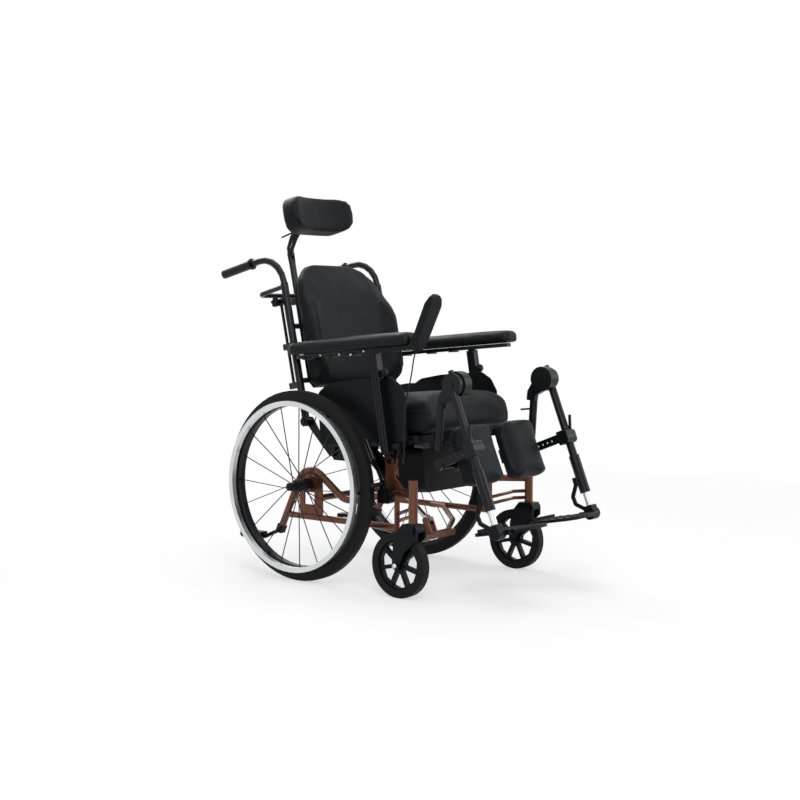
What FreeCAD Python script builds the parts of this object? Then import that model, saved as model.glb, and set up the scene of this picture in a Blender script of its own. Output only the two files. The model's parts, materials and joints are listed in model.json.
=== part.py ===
import FreeCAD, Part

import math
import os

V = FreeCAD.Vector
os.makedirs("parts", exist_ok=True)

# A wheelchair whose whole seat tilts back in its wheeled base.
# Millimetres. +Z is up, the floor is Z = 0, the user faces -Y and the user's left hand is at +X.
# Places are measured from the tilt drawing's own line; saving moves them by MIDDLE_Y, so that the
# origin of the finished part is on the floor under the middle of its length.
# Right-hand pieces (-X) are mirrored from left-hand ones unless they carry the handset.

# How far the middle of the chair lies behind the line that Y is drawn from
MIDDLE_Y = 18

# Fits
RUN = 0.05
SOFT_GAP = 0.4
EPS = 0.01
RING_SIDES = 60
CASTER_SIDES = 40
BEND_STEP = 18

# Rear wheels
AXLE_Y = 214
WHEEL_R = 305
WHEEL_X = 301
TYRE_HALF = 17
TYRE_CROWN = 11
TYRE_HEIGHT = 33
RIM_HALF = 11
RIM_HEIGHT = 14
HUB_R = 20
HUB_MID = 320
HUB_IN = 283
HUB_OUT = 331
HUB_CAP_OUT = 346
HUB_CAP_R = 14
SPOKES = 20
SPOKE_T = 2.4
AXLE_R = 6
HANDRIM_R = 265.5
HANDRIM_HALF = 8
HANDRIM_X = 341
HANDRIM_TABS = 6

# Side frames
FRAME_X = 245
FRAME_R = 12
LOWER_R = 10.5
REAR_END = (343, 160)
HUMP_CORNER = (233.5, 381.7)
HUMP_BEND = 62
DIP_CORNER = (68, 262)
DIP_BEND = 70
SHOULDER = (-160, 308)
LOWER_Z = 202
POST_Y = -144
POST_R = 9
PLATE_T = 6
CROSS_Y = 182
CROSS_Z = 262
CROSS_R = 11

# Parking brakes
BRAKE_PIVOT = (-112, 285)
BRAKE_TOP = (-42, 455)
BRAKE_X = 266
BRAKE_GAP = 10.6
BRAKE_PIN_R = 4
SHOE_R = 6

# Casters
CASTER_X = 309
STEM_Y = -258
TRAIL = 49
CASTER_R = 100
CASTER_HALF = 14
CASTER_RIM_R = 76
CASTER_SPOKES = 7
FORK_TOP = 228
FORK_GAP = 3.5
FORK_T = 6
STEM_R = 14
STEM_PIN_R = 6
STEM_TOP = 359
CASTER_AXLE_R = 5

# Seat tilt
TILT_Y = -105
TILT_Z = 400
SEAT_TILT = 4.7
TILT_PIN_R = 7
TILT_BOSS_R = 16
ROD_PIN_R = 5
ROD_PIN_CLEAR = 1.8
ROD_EYE = (-74, 186)
MOTOR_EYE = (179, 398)
ROD_R = 9

# Recline strut: its eye under the seat, given level, and its pin on the backrest's arm
RECLINE_X = 110
RECLINE_EYE = (20, 425)
RECLINE_ARM = (236, 398)
RECLINE_PIN_R = 4
RECLINE_PIN_CLEAR = 1.9
RECLINE_ROD_R = 5
RECLINE_TUBE_R = 11

# Seat, given with the seat level
RAIL_X0 = 203
RAIL_X1 = 228
RAIL_Z0 = 447
RAIL_Z1 = 472
RAIL_FRONT = -214
RAIL_REAR = 178
PAN_T = 3
SEAT_FRONT = -257
SEAT_REAR = 178
SEAT_HALF = 221
SEAT_TOP = 592
SEAT_CROWN = 12
SEAT_ROLL = 55
PANEL_X = 238
PANEL_T = 3

# Armrests, given with the seat level
ARM_X = 254
SOCKET_W = 24
SOCKET_D = 30
SOCKET_FOOT = (-115, 421)
SOCKET_HEAD = (-89, 733)
ARM_BAR_W = 16
ARM_BAR_D = 20
PAD_FRONT = -255
PAD_REAR = 246
PAD_IN = 221
PAD_OUT = 305
PAD_BOTTOM = 748
PAD_TOP = 789
ARM_LIFT = 80

# Backrest, given with the back tubes upright
BACK_Y = 243
BACK_Z = 505
BACK_LEAN = 12.1
BACK_X = 236
BACK_R = 12.5
BACK_TUBE_TOP = 964
BACK_PIN_R = 6
HANDLE_R = 10.9
HANDLE_Z = 1062
HANDLE_BEND = 95
HANDLE_END = 506
HANDLE_DROP = 7
GRIP_LENGTH = 138
GRIP_R = 15.5
STAY_Z = 954
STAY_Y = 369
STAY_R = 8
KNOB_X = 262
KNOB_PLACE = (BACK_Y + 30, 906)
BACK_BOTTOM = 606
BACK_TOP = 1036
BACK_HALF = 218
BACK_FRONT = 178
BACK_WING = 26
BACK_CURVE_Z = 850
BACK_CURVE = 32
SHELL_HALF = 212
SHELL_T = 4
SHELL_BACK = -13

# Headrest, given with the back tubes upright
POLE_Y = 411
POLE_W = 20
POLE_T = 12
POLE_Z0 = 820
LINK_Z = 1108
HEAD_Y = 356
HEAD_Z = 1180
HEAD_PIN_R = 4
LINK_HALF = 5
HEAD_PAD_Z0 = 1146
HEAD_PAD_Z1 = 1275
HEAD_PAD_BACK = 324
HEAD_PAD_HALF = 155
HEAD_PAD_T = 76

# Legrests
SWING_X = 249
SWING_FOOT = (-307, 445)
SWING_HEAD = (-316, 585)
SWING_PIN_R = 8
SWING_R = 13
KNEE_Y = -365
KNEE_Z = 645
KNEE_R_IN = 40
KNEE_R_OUT = 35
KNEE_T = 17
KNEE_PIN_R = 8
LEG_ANGLE = 21.4
LEG_X = 262
LEG_R = 13
SLEEVE_R = 17
SLEEVE_TOP = 262
SLEEVE_END = 386
INNER_R = 10
CLAMP_S = 199
BRACKET_REACH = 168
FOOT_S = 455
FOOT_R = 20
CALF_S0 = 102
CALF_S1 = 294
CALF_FRONT = 60
CALF_BACK = 116
CALF_X0 = 22
CALF_X1 = 212
CALF_PIVOT = (142, 205)
CALF_PIN_R = 5
FOOTPLATE_SLOPE = 11
FOOTPLATE_X0 = 62
FOOTPLATE_X1 = 236
FOOTPLATE_FRONT = -56
FOOTPLATE_REAR = 118
FOOTPLATE_T = 10

# Power pack and handset
BATTERY_HALF = 122
BATTERY_Y0 = -152
BATTERY_Y1 = -42
BATTERY_Z0 = 290
HANDSET_X = -270
HANDSET_LEAN = 25
HANDSET_FOOT = (-238, 744)
HANDSET_LENGTH = 182
HANDSET_HALF = 27
HANDSET_THICK = 12
KEY_HALF = 6.5
KEY_PITCH = 11
KEY_ROW = 28
KEY_TRAVEL = 1
CORD_D = 4.4
CURL_OD = 11
CURL_TOP = (-250, -176, 524)
CURL_LENGTH = 78

CORD_TOP_ROUTE = [(-270, -237.8, 743.5), (-270, -229, 725), (-264, -219, 690), (-256, -204, 650),
                  (-250, -188, 606), (-250, -176, 564), (-250, -176, 524)]
CORD_LOW_ROUTE = [(-250, -176, 446), (-250, -176, 420), (-236, -160, 400), (-205, -140, 396),
                  (-168, -120, 408), (-148, -110, 418), (-125, -110, 418)]

AXLE = (AXLE_Y, WHEEL_R)
CASTER_AXLE = (STEM_Y + TRAIL, CASTER_R)


def save(name, *solids):
    shape = solids[0].copy() if len(solids) == 1 else Part.makeCompound(list(solids))
    shape.translate(V(0, -MIDDLE_Y, 0))
    shape.exportStep("parts/" + name + ".step")


def mirrored(shape):
    return shape.mirror(V(0, 0, 0), V(1, 0, 0))


def save_pair(stem, *solids):
    save(stem + "_left", *solids)
    save(stem + "_right", *[mirrored(s) for s in solids])


def fused(shapes):
    return shapes[0].multiFuse(shapes[1:]).removeSplitter()


def rod(start, end, radius):
    start, end = V(*start), V(*end)
    return Part.makeCylinder(radius, (end - start).Length, start, end - start)


def block(x0, x1, y0, y1, z0, z1):
    return Part.makeBox(x1 - x0, y1 - y0, z1 - z0, V(x0, y0, z0))


def cross_rod(x0, x1, place, radius):
    """A round bar along X whose axis passes through place, a (y, z) pair."""
    return rod((x0, *place), (x1, *place), radius)


def turned(shape, place, degrees):
    """A copy turned about the X line through place; positive lowers the rear."""
    copy = shape.copy()
    copy.rotate(V(0, *place), V(1, 0, 0), -degrees)
    return copy


def tangent_edges(points, radii, closed):
    """Straight runs through the points, joined by tangent arcs of the given radii."""
    points = [V(*p) for p in points]
    count = len(points)
    starts, ends = [], []
    edges = []
    arcs = []
    for i, corner in enumerate(points):
        radius = radii[i]
        end_point = not closed and i in (0, count - 1)
        if end_point or radius == 0:
            starts.append(corner)
            ends.append(corner)
            arcs.append(None)
            continue
        to_last = (points[i - 1] - corner).normalize()
        to_next = (points[(i + 1) % count] - corner).normalize()
        half = to_last.getAngle(to_next) / 2
        back = radius / math.tan(half)
        first = corner + to_last * back
        last = corner + to_next * back
        bisector = (to_last + to_next).normalize()
        middle = corner + bisector * (radius / math.sin(half) - radius)
        starts.append(first)
        ends.append(last)
        arcs.append(Part.Arc(first, middle, last).toShape())
    for i in range(count):
        if arcs[i]:
            edges.append(arcs[i])
        if i == count - 1 and not closed:
            break
        a, b = ends[i], starts[(i + 1) % count]
        if (b - a).Length > EPS:
            edges.append(Part.LineSegment(a, b).toShape())
    return edges


def section_ring(centre, along, radius, sides, face_on):
    """The outline of a many-sided tube, with one flat turned towards face_on."""
    along = V(*along).normalize()
    across = (face_on - along * face_on.dot(along)).normalize()
    other = along.cross(across)
    corners = []
    for i in range(sides):
        angle = (2 * i + 1) * math.pi / sides
        corners.append(centre + across * (radius * math.cos(angle)) + other * (radius * math.sin(angle)))
    return Part.makePolygon(corners + corners[:1])


def pipe_along(path, points, radius, sides, face_on):
    start = V(*points[0])
    ring = section_ring(start, tuple(V(*points[1]) - start), radius, sides, face_on)
    return path.makePipeShell([ring], True, False, 1)


def bend_points(last, corner, following, radius):
    """Points on the tangent bend that replaces a corner."""
    to_last = (last - corner).normalize()
    to_next = (following - corner).normalize()
    half = to_last.getAngle(to_next) / 2
    first = corner + to_last * (radius / math.tan(half))
    centre = corner + (to_last + to_next).normalize() * (radius / math.sin(half))
    turn = 180 - 2 * math.degrees(half)
    steps = max(2, round(turn / BEND_STEP))
    spin = FreeCAD.Rotation(to_last.cross(to_next) * -1, turn / steps)
    arm = first - centre
    found = [first]
    for _ in range(steps):
        arm = spin.multVec(arm)
        found.append(centre + arm)
    return found


def bent_tube(points, bends, radius, sides=8, face_on=V(1, 0, 0)):
    """A mitred tube along straight runs; bends is one radius or a list, rounded in short chords."""
    if not isinstance(bends, (list, tuple)):
        bends = [bends] * (len(points) - 2)
    places = [V(*p) for p in points]
    route = places[:1]
    for last, corner, following, bend in zip(places, places[1:], places[2:], bends):
        route += bend_points(last, corner, following, bend) if bend else [corner]
    route.append(places[-1])
    return pipe_along(Part.makePolygon(route), route, radius, sides, face_on)


def sided_rod(start, end, radius, sides=8):
    """A straight many-sided bar whose corners lie on the radius."""
    return bent_tube([start, end], [], radius, sides)


def sided_cross(x0, x1, place, radius, sides=8):
    """The same along X; place is a (y, z) pair."""
    return bent_tube([(x0, *place), (x1, *place)], [], radius, sides, V(0, 0, 1))


def flat_prism(points, faces_to, depth):
    """A prism over a flat polygon of (x, y, z) points, pushed along faces_to by depth."""
    corners = [V(*p) for p in points]
    face = Part.Face(Part.makePolygon(corners + corners[:1]))
    return face.extrude(V(*faces_to) * depth)


def side_plate(outline, x0, x1, corner=0):
    """A plate in the YZ plane from x0 to x1; corner is one radius or one for each point."""
    radii = corner if isinstance(corner, (list, tuple)) else [corner] * len(outline)
    points = [(x0, y, z) for y, z in outline]
    face = Part.Face(Part.Wire(tangent_edges(points, radii, True)))
    return face.extrude(V(x1 - x0, 0, 0))


def floor_plate(outline, z0, z1, corner=0):
    """A plate parallel to the floor from z0 to z1."""
    radii = corner if isinstance(corner, (list, tuple)) else [corner] * len(outline)
    points = [(x, y, z0) for x, y in outline]
    face = Part.Face(Part.Wire(tangent_edges(points, radii, True)))
    return face.extrude(V(0, 0, z1 - z0))


def front_plate(outline, y0, y1, corner=0):
    """A plate facing the front, from y0 to y1."""
    radii = corner if isinstance(corner, (list, tuple)) else [corner] * len(outline)
    points = [(x, y0, z) for x, z in outline]
    face = Part.Face(Part.Wire(tangent_edges(points, radii, True)))
    return face.extrude(V(0, y1 - y0, 0))


def round_outline(radius, place, sides):
    """The (y, z) corners of a many-sided disc, one of them straight below the centre."""
    return [on_circle(radius, 2 * math.pi * i / sides, place) for i in range(sides)]


def turned_ring(profile, place, sides=RING_SIDES):
    """A ring about the X line through place, from (x, radius) points, as many narrow flats."""
    rings = [[V(x, *p) for p in round_outline(r, place, sides)] for x, r in profile]
    faces = []
    for first, second in zip(rings, rings[1:] + rings[:1]):
        for i in range(sides):
            corners = [first[i], second[i], second[i - 1], first[i - 1]]
            faces.append(Part.Face(Part.makePolygon(corners + corners[:1])))
    ring = Part.makeSolid(Part.makeShell(faces))
    if ring.Volume < 0:
        ring.reverse()
    return ring.removeSplitter()


def bar_between(start, end, width, depth):
    """A straight rectangular bar between two points, depth measured near the YZ plane."""
    start, end = V(*start), V(*end)
    length = (end - start).Length
    bar = Part.makeBox(width, depth, length, V(-width / 2, -depth / 2, 0))
    bar.Placement = FreeCAD.Placement(start, FreeCAD.Rotation(V(0, 0, 1), end - start))
    return bar


def on_circle(radius, angle, place):
    return (place[0] + radius * math.sin(angle), place[1] + radius * math.cos(angle))


# Rear wheels

def rear_tyre():
    bead = WHEEL_R - TYRE_HEIGHT
    profile = [(-TYRE_HALF, bead), (-TYRE_CROWN, WHEEL_R), (TYRE_CROWN, WHEEL_R), (TYRE_HALF, bead)]
    return turned_ring([(WHEEL_X + x, r) for x, r in profile], AXLE)


def spoke(i):
    step = 2 * math.pi / SPOKES
    side = 1 if i % 2 else -1
    lean = (1 if i % 4 < 2 else -1) * 1.1
    y0, z0 = on_circle(HUB_R - 5, i * step + lean, AXLE)
    y1, z1 = on_circle(WHEEL_R - TYRE_HEIGHT - RIM_HEIGHT + 3, i * step, AXLE)
    hub_x = (HUB_IN + HUB_MID) / 2 + side * 12
    return bar_between((hub_x, y0, z0), (WHEEL_X, y1, z1), SPOKE_T, SPOKE_T)


def handrim_face():
    return HANDRIM_X - HANDRIM_HALF


def rear_wheel():
    rim_out = WHEEL_R - TYRE_HEIGHT
    half, rim_in = RIM_HALF, rim_out - RIM_HEIGHT
    rim = turned_ring([(WHEEL_X - half, rim_out), (WHEEL_X - half, rim_in),
                       (WHEEL_X + half, rim_in), (WHEEL_X + half, rim_out)], AXLE)
    pieces = [rim, sided_cross(HUB_IN, HUB_MID, AXLE, HUB_R, 10)]
    pieces.append(sided_cross(HUB_MID - 1, HUB_CAP_OUT, AXLE, HUB_CAP_R))
    for i in range(SPOKES):
        pieces.append(spoke(i))
    for i in range(HANDRIM_TABS):
        place = on_circle(rim_out - 6, (i + 0.5) * 2 * math.pi / HANDRIM_TABS, AXLE)
        side = block(WHEEL_X + RIM_HALF - 6, handrim_face(), place[0] - 5, place[0] + 5,
                     place[1] - 5, place[1] + 5)
        side.rotate(V(0, *place), V(1, 0, 0), -(i + 0.5) * 360 / HANDRIM_TABS)
        pieces.append(side)
    wheel = fused(pieces)
    return wheel.cut(cross_rod(HUB_IN - 1, HUB_OUT + 3, AXLE, AXLE_R + RUN))


def handrim():
    half = HANDRIM_HALF
    profile = [(-half, -half), (half, -half), (half, half), (-half, half)]
    return turned_ring([(HANDRIM_X + x, HANDRIM_R + r) for x, r in profile], AXLE)


# Base frame

def pivot_outline():
    """The upright that carries the seat's tilt pin, standing on the top tube."""
    r = TILT_BOSS_R
    return [(-176, 302), (TILT_Y - 22, 352), (TILT_Y - r, TILT_Z - 8), (TILT_Y - r, TILT_Z + 8),
            (TILT_Y - 8, TILT_Z + r), (TILT_Y + 8, TILT_Z + r), (TILT_Y + r, TILT_Z + 8), (-92, 300)]


def side_frame():
    top = [(FRAME_X, *REAR_END), (FRAME_X, *HUMP_CORNER), (FRAME_X, *DIP_CORNER),
           (FRAME_X, *SHOULDER)]
    pieces = [bent_tube(top, [HUMP_BEND, DIP_BEND], FRAME_R)]
    shoulder = (FRAME_X, *SHOULDER)
    pieces.append(sided_rod(shoulder, (CASTER_X, STEM_Y, SHOULDER[1]), FRAME_R - 0.5))
    pieces.append(sided_rod((FRAME_X, 306, LOWER_Z - 4), (FRAME_X, POST_Y, LOWER_Z - 4), LOWER_R))
    pieces.append(sided_rod((FRAME_X, POST_Y, LOWER_Z - 16), (FRAME_X, POST_Y, 303), POST_R))
    pieces.append(sided_rod((CASTER_X, STEM_Y, FORK_TOP + 1), (CASTER_X, STEM_Y, STEM_TOP), STEM_R, 12))
    for stem_z, post_z in ((266, 240), (244, 218)):
        elbow = (CASTER_X - 32, STEM_Y + 44, stem_z - 3)
        pieces.append(bar_between((CASTER_X - 4, STEM_Y + 2, stem_z), elbow, 8, 8))
        pieces.append(bar_between((elbow[0] + 1, elbow[1] - 3, elbow[2]), (FRAME_X, POST_Y, post_z), 8, 8))
    window = [(198, 238), (242, 238), (242, 278), (198, 278)]
    carrier = [(252, 202), (262, 212), (264, 300), (238, 346), (180, 334), (166, 322),
               (164, 212), (174, 202)]
    plate = side_plate(carrier, FRAME_X - PLATE_T / 2, FRAME_X + PLATE_T / 2)
    plate = plate.cut(side_plate(window, FRAME_X - 20, FRAME_X + 20))
    pieces.append(plate)
    pieces.append(sided_cross(FRAME_X - 9, FRAME_X + 9, AXLE, 24, 12))
    pieces.append(side_plate(pivot_outline(), FRAME_X - 15, FRAME_X - 15 + PLATE_T))
    frame = fused(pieces)
    holes = [cross_rod(FRAME_X - 40, FRAME_X, (TILT_Y, TILT_Z), TILT_PIN_R + RUN),
             cross_rod(FRAME_X - 30, FRAME_X + 30, AXLE, AXLE_R + RUN),
             rod((CASTER_X, STEM_Y, FORK_TOP - 2), (CASTER_X, STEM_Y, STEM_TOP - 8),
                 STEM_PIN_R + RUN)]
    return frame.cut(Part.makeCompound(holes))


def front_rail():
    """The low bow and the rear tube that tie the side frames, with the tilt rod's ears."""
    inside = FRAME_X - LOWER_R
    half = [(inside - 8, 92, LOWER_Z - 4), (inside - 8, 36, LOWER_Z - 4),
            (150, -62, 168), (64, -104, 146)]
    route = half + [(-x, y, z) for x, y, z in reversed(half)]
    bow = bent_tube(route, 0, 9, 6)
    tongues = [block(*sorted((s * (inside - 14), s * inside)), 68, 92, LOWER_Z - 10, LOWER_Z + 2)
               for s in (-1, 1)]
    rail = block(-92, 92, -116, -92, 132, 150)
    eye_y, eye_z = ROD_EYE
    ear = [(eye_y - 30, 140), (eye_y - 11, eye_z), (eye_y - 6, eye_z + 10),
           (eye_y + 6, eye_z + 10), (eye_y + 11, eye_z), (eye_y - 4, 140)]
    ears = [side_plate(ear, x, x + 5) for x in (-17, 12)]
    ears.append(block(-40, 40, eye_y - 32, eye_y - 2, 138, 146))
    body = fused([bow, rail, *tongues, *ears])
    slots = [block(x, x + 26, -111, -97, 130, 152) for x in (-86, -56, 30, 60)]
    body = body.cut(Part.makeCompound(slots))
    pin = cross_rod(-17, 17, ROD_EYE, ROD_PIN_R)
    wall = FRAME_X - PLATE_T / 2
    return [body.fuse(pin), sided_cross(-wall, wall, (CROSS_Y, CROSS_Z), CROSS_R)]


def axle_housing():
    """The black sleeve that clamps against the frame's axle boss."""
    outer = sided_cross(FRAME_X + 9, HUB_IN - 2, AXLE, 20, 12)
    return outer.cut(cross_rod(FRAME_X, HUB_IN, AXLE, AXLE_R + RUN))


def rear_axle():
    return cross_rod(FRAME_X - 16, HUB_OUT + 2, AXLE, AXLE_R)


def tipping_step():
    """A plugged tube end with a bent rod and a ribbed foot pad for the attendant."""
    y, z = REAR_END
    slope = V(0, REAR_END[0] - HUMP_CORNER[0], REAR_END[1] - HUMP_CORNER[1]).normalize()
    start = V(FRAME_X, y, z)
    plug = bar_between(tuple(start), tuple(start + slope * 26), 23, 23)
    tip = start + slope * 20
    low = (FRAME_X, y + 72, 116)
    arm = bar_between((FRAME_X, tip.y - 6, tip.z + 3), low, 11, 11)
    toe = bar_between((FRAME_X, low[1] - 4, low[2]), (FRAME_X, y + 96, 116), 11, 11)
    pad = side_plate([(y + 88, 106), (y + 92, 103), (y + 176, 104), (y + 183, 110), (y + 181, 126),
                      (y + 88, 127)], FRAME_X - 17, FRAME_X + 17)
    ribs = [block(FRAME_X - 20, FRAME_X + 20, y + 104 + 18 * i, y + 111 + 18 * i, 109, 124)
            for i in range(4)]
    return fused([plug, arm, toe, pad, *ribs])


# Parking brakes

def brake_mount():
    """A split clamp on the side frame's top tube, with the lever's pin."""
    y, z = BRAKE_PIVOT
    outline = [(y - 16, z - 8), (y - 8, z - 14), (y + 34, z - 14), (y + 34, z + 22),
               (y + 26, z + 30), (y - 16, z + 32)]
    body = side_plate(outline, FRAME_X - 8.5, FRAME_X + 16)
    body = body.cut(bent_tube([(FRAME_X, *DIP_CORNER), (FRAME_X, *SHOULDER)], [], FRAME_R + RUN))
    pin = cross_rod(FRAME_X + 14, BRAKE_X + 8, BRAKE_PIVOT, BRAKE_PIN_R)
    return body.fuse(pin)


def shoe_place():
    distance = WHEEL_R + SHOE_R + BRAKE_GAP
    rise = math.radians(5)
    return (AXLE_Y - distance * math.cos(rise), WHEEL_R + distance * math.sin(rise))


def brake_lever():
    y, z = BRAKE_PIVOT
    shoe = shoe_place()
    x0 = BRAKE_X - 4
    plate = side_plate([(y - 10, z - 10), (y + 2, z - 14), (y + 13, z - 4), (shoe[0] + 13, shoe[1] + 4),
                        (shoe[0] + 8, shoe[1] + 14), (shoe[0] - 8, shoe[1] + 10)], x0, x0 + 8)
    knee = (BRAKE_X, y + 18, z + 70)
    top = (BRAKE_X, *BRAKE_TOP)
    stem = bar_between((BRAKE_X, y + 2, z + 34), knee, 8, 8)
    along = (V(*top) - V(*knee)).normalize()
    upper = bar_between(tuple(V(*knee) - along * 3), top, 8, 8)
    grip = bent_tube([tuple(V(*top) - along * 56), tuple(V(*top) + along * 10)], [], 9, 8)
    arm = cross_rod(BRAKE_X - 2, WHEEL_X + 20, shoe, SHOE_R)
    lever = fused([plate, stem, upper, grip, arm])
    return lever.cut(cross_rod(x0 - 5, x0 + 12, BRAKE_PIVOT, BRAKE_PIN_R + RUN))


# Casters

def caster_tyre():
    rim, half = CASTER_RIM_R, CASTER_HALF
    profile = [(-half, rim), (-half, CASTER_R), (half, CASTER_R), (half, rim)]
    return turned_ring([(CASTER_X + x, r) for x, r in profile], CASTER_AXLE, CASTER_SIDES)


def caster_wheel():
    """A moulded disc with seven windows that leave spokes, and a thick hub."""
    half = 8
    disc = side_plate(round_outline(CASTER_RIM_R, CASTER_AXLE, CASTER_SIDES), CASTER_X - half,
                      CASTER_X + half)
    windows = []
    for i in range(CASTER_SPOKES):
        step = 2 * math.pi / CASTER_SPOKES
        a, b = i * step + 0.09, (i + 1) * step - 0.09
        outer = CASTER_RIM_R - 8
        corners = [on_circle(24, a + 0.16, CASTER_AXLE), on_circle(outer, a, CASTER_AXLE),
                   on_circle(outer + 3, (a + b) / 2, CASTER_AXLE),
                   on_circle(outer, b, CASTER_AXLE), on_circle(24, b - 0.16, CASTER_AXLE)]
        windows.append(side_plate(corners, CASTER_X - 20, CASTER_X + 20))
    disc = disc.cut(Part.makeCompound(windows))
    hub = sided_cross(CASTER_X - CASTER_HALF, CASTER_X + CASTER_HALF, CASTER_AXLE, 15)
    return disc.fuse(hub).cut(cross_rod(CASTER_X - 30, CASTER_X + 30, CASTER_AXLE, CASTER_AXLE_R + RUN))


def caster_fork():
    """A moulded fork: a crown over the wheel and two arms that sweep back to the axle."""
    inner = CASTER_HALF + FORK_GAP
    outer = inner + FORK_T
    ay, az = CASTER_AXLE
    arm = [(STEM_Y - 24, FORK_TOP), (STEM_Y - 32, FORK_TOP - 12), (STEM_Y - 32, FORK_TOP - 40),
           (ay - 30, az + 40), (ay - 14, az + 4), (ay - 10, az - 10), (ay, az - 15), (ay + 10, az - 10),
           (ay + 14, az + 4), (ay + 10, az + 60), (STEM_Y + 44, FORK_TOP - 24), (STEM_Y + 24, FORK_TOP)]
    whole = side_plate(arm, CASTER_X - outer, CASTER_X + outer)
    gap = block(CASTER_X - inner, CASTER_X + inner, STEM_Y - 80, STEM_Y + 200,
                0, CASTER_R * 2 + 6)
    wings = front_plate([(CASTER_X - 30, FORK_TOP - 26), (CASTER_X + 30, FORK_TOP - 26),
                         (CASTER_X + 30, FORK_TOP - 8), (CASTER_X + 22, FORK_TOP),
                         (CASTER_X - 22, FORK_TOP), (CASTER_X - 30, FORK_TOP - 8)],
                        STEM_Y - 22, STEM_Y + 22)
    whole = whole.fuse(wings).cut(gap)
    stem = rod((CASTER_X, STEM_Y, FORK_TOP - 8), (CASTER_X, STEM_Y, STEM_TOP - 10), STEM_PIN_R)
    bolt = cross_rod(CASTER_X - outer - 4, CASTER_X + outer + 4, CASTER_AXLE, CASTER_AXLE_R)
    return fused([whole, stem, bolt])


# Seat, drawn level and then tilted about the tilt pins

def tilted(shape):
    return turned(shape, (TILT_Y, TILT_Z), SEAT_TILT)


def swing_point(z):
    """The (y, z) point of the legrest's swing axis at height z."""
    y0, z0 = SWING_FOOT
    y1, z1 = SWING_HEAD
    return (y0 + (z - z0) * (y1 - y0) / (z1 - z0), z)


def leg_receiver():
    """The arm and upright pin on which a legrest hangs; drawn in its tilted place."""
    foot = (SWING_X, *swing_point(460))
    elbow = (SWING_X, -262, 461)
    arm = bar_between((215, -194, 458), elbow, 17, 17)
    fore = bar_between((SWING_X, elbow[1] + 7, 461), foot, 17, 17)
    pin = rod((SWING_X, *swing_point(446)), (SWING_X, *swing_point(574)), SWING_PIN_R)
    collar = sided_rod((SWING_X, *swing_point(446)), (SWING_X, *swing_point(474)), SWING_R)
    return [arm, fore, pin, collar]


def socket_post():
    """The ribbed extrusion that guides an armrest, with a square bore."""
    foot, head = V(ARM_X, *SOCKET_FOOT), V(ARM_X, *SOCKET_HEAD)
    post = bar_between(tuple(foot), tuple(head), SOCKET_W, SOCKET_D)
    axis = (head - foot).normalize()
    across = V(0, axis.z, -axis.y)
    cuts = []
    for side in (-1, 1):
        for shift in (-6, 6):
            offset = across * shift + V(side * SOCKET_W / 2, 0, 0)
            cuts.append(bar_between(tuple(foot + offset - axis), tuple(head + offset + axis), 3, 4))
    bore = bar_between(tuple(foot + axis * 12), tuple(head + axis * 12),
                       ARM_BAR_W + 2 * RUN, ARM_BAR_D + 2 * RUN)
    post = post.cut(Part.makeCompound([*cuts, bore]))
    lug = block(RAIL_X1 - 1, ARM_X - SOCKET_W / 2 + 2, -122, -98, RAIL_Z0, RAIL_Z0 + 11)
    return post.fuse(lug)


def seat_frame():
    """Two rails with cross bars and a pan, and every bracket that the seat carries."""
    half = [block(RAIL_X0, RAIL_X1, RAIL_FRONT, RAIL_REAR, RAIL_Z0, RAIL_Z1)]
    for y in (-200, -88, RAIL_REAR - 26):
        half.append(block(0, RAIL_X0 + 2, y, y + 20, RAIL_Z0, RAIL_Z1))
    half.append(block(0, RAIL_X1, RAIL_FRONT, RAIL_REAR, RAIL_Z1, RAIL_Z1 + PAN_T))
    r = TILT_BOSS_R
    pivot = [(TILT_Y - 40, RAIL_Z0 + 2), (TILT_Y - r, TILT_Z - 8), (TILT_Y - 8, TILT_Z - r),
             (TILT_Y + 8, TILT_Z - r), (TILT_Y + r, TILT_Z - 8), (TILT_Y + 40, RAIL_Z0 + 2)]
    half.append(side_plate(pivot, RAIL_X1 - 6, RAIL_X1))
    half.append(cross_rod(RAIL_X1 - 2, FRAME_X - 5, (TILT_Y, TILT_Z), TILT_PIN_R))
    half.append(socket_post())
    skirt = [(60, RAIL_Z0 + 2), (60, 412), (72, 399), (146, 405), (RAIL_REAR, RAIL_Z0 + 2)]
    half.append(side_plate(skirt, RAIL_X0 + 3, RAIL_X0 + 8))
    level = fused(half)
    level = level.fuse(mirrored(level))
    low = RAIL_Z0 + 2
    ey, ez = level_place(MOTOR_EYE)
    lug = [(ey - 22, low), (ey - 12, ez - 6), (ey - 6, ez - 12), (ey + 6, ez - 12), (ey + 12, ez - 6),
           (ey + 22, low)]
    extra = [side_plate(lug, x, x + 5) for x in (-34, 29)]
    extra.append(block(-40, 40, ey - 24, ey + 30, RAIL_Z0, RAIL_Z1))
    extra.append(cross_rod(-34, 34, (ey, ez), ROD_PIN_R))
    ry, rz = RECLINE_EYE
    lug = [(ry - 16, low), (ry - 8, rz - 9), (ry + 8, rz - 9), (ry + 16, low)]
    extra += [side_plate(lug, x, x + 4) for x in (RECLINE_X - 15, RECLINE_X + 11)]
    extra.append(block(RECLINE_X - 22, RECLINE_X + 22, ry - 20, ry + 20, RAIL_Z0, RAIL_Z1))
    extra.append(cross_rod(RECLINE_X - 15, RECLINE_X + 15, RECLINE_EYE, RECLINE_PIN_R))
    placed = tilted(fused([level, *extra]))
    fixed = leg_receiver() + back_ears()
    return fused([placed, *fixed, *[mirrored(piece) for piece in fixed]])


def level_place(place):
    """Where a tilted (y, z) point lies with the seat level."""
    angle = math.radians(SEAT_TILT)
    y, z = place[0] - TILT_Y, place[1] - TILT_Z
    return (TILT_Y + y * math.cos(angle) - z * math.sin(angle),
            TILT_Z + y * math.sin(angle) + z * math.cos(angle))


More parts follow.
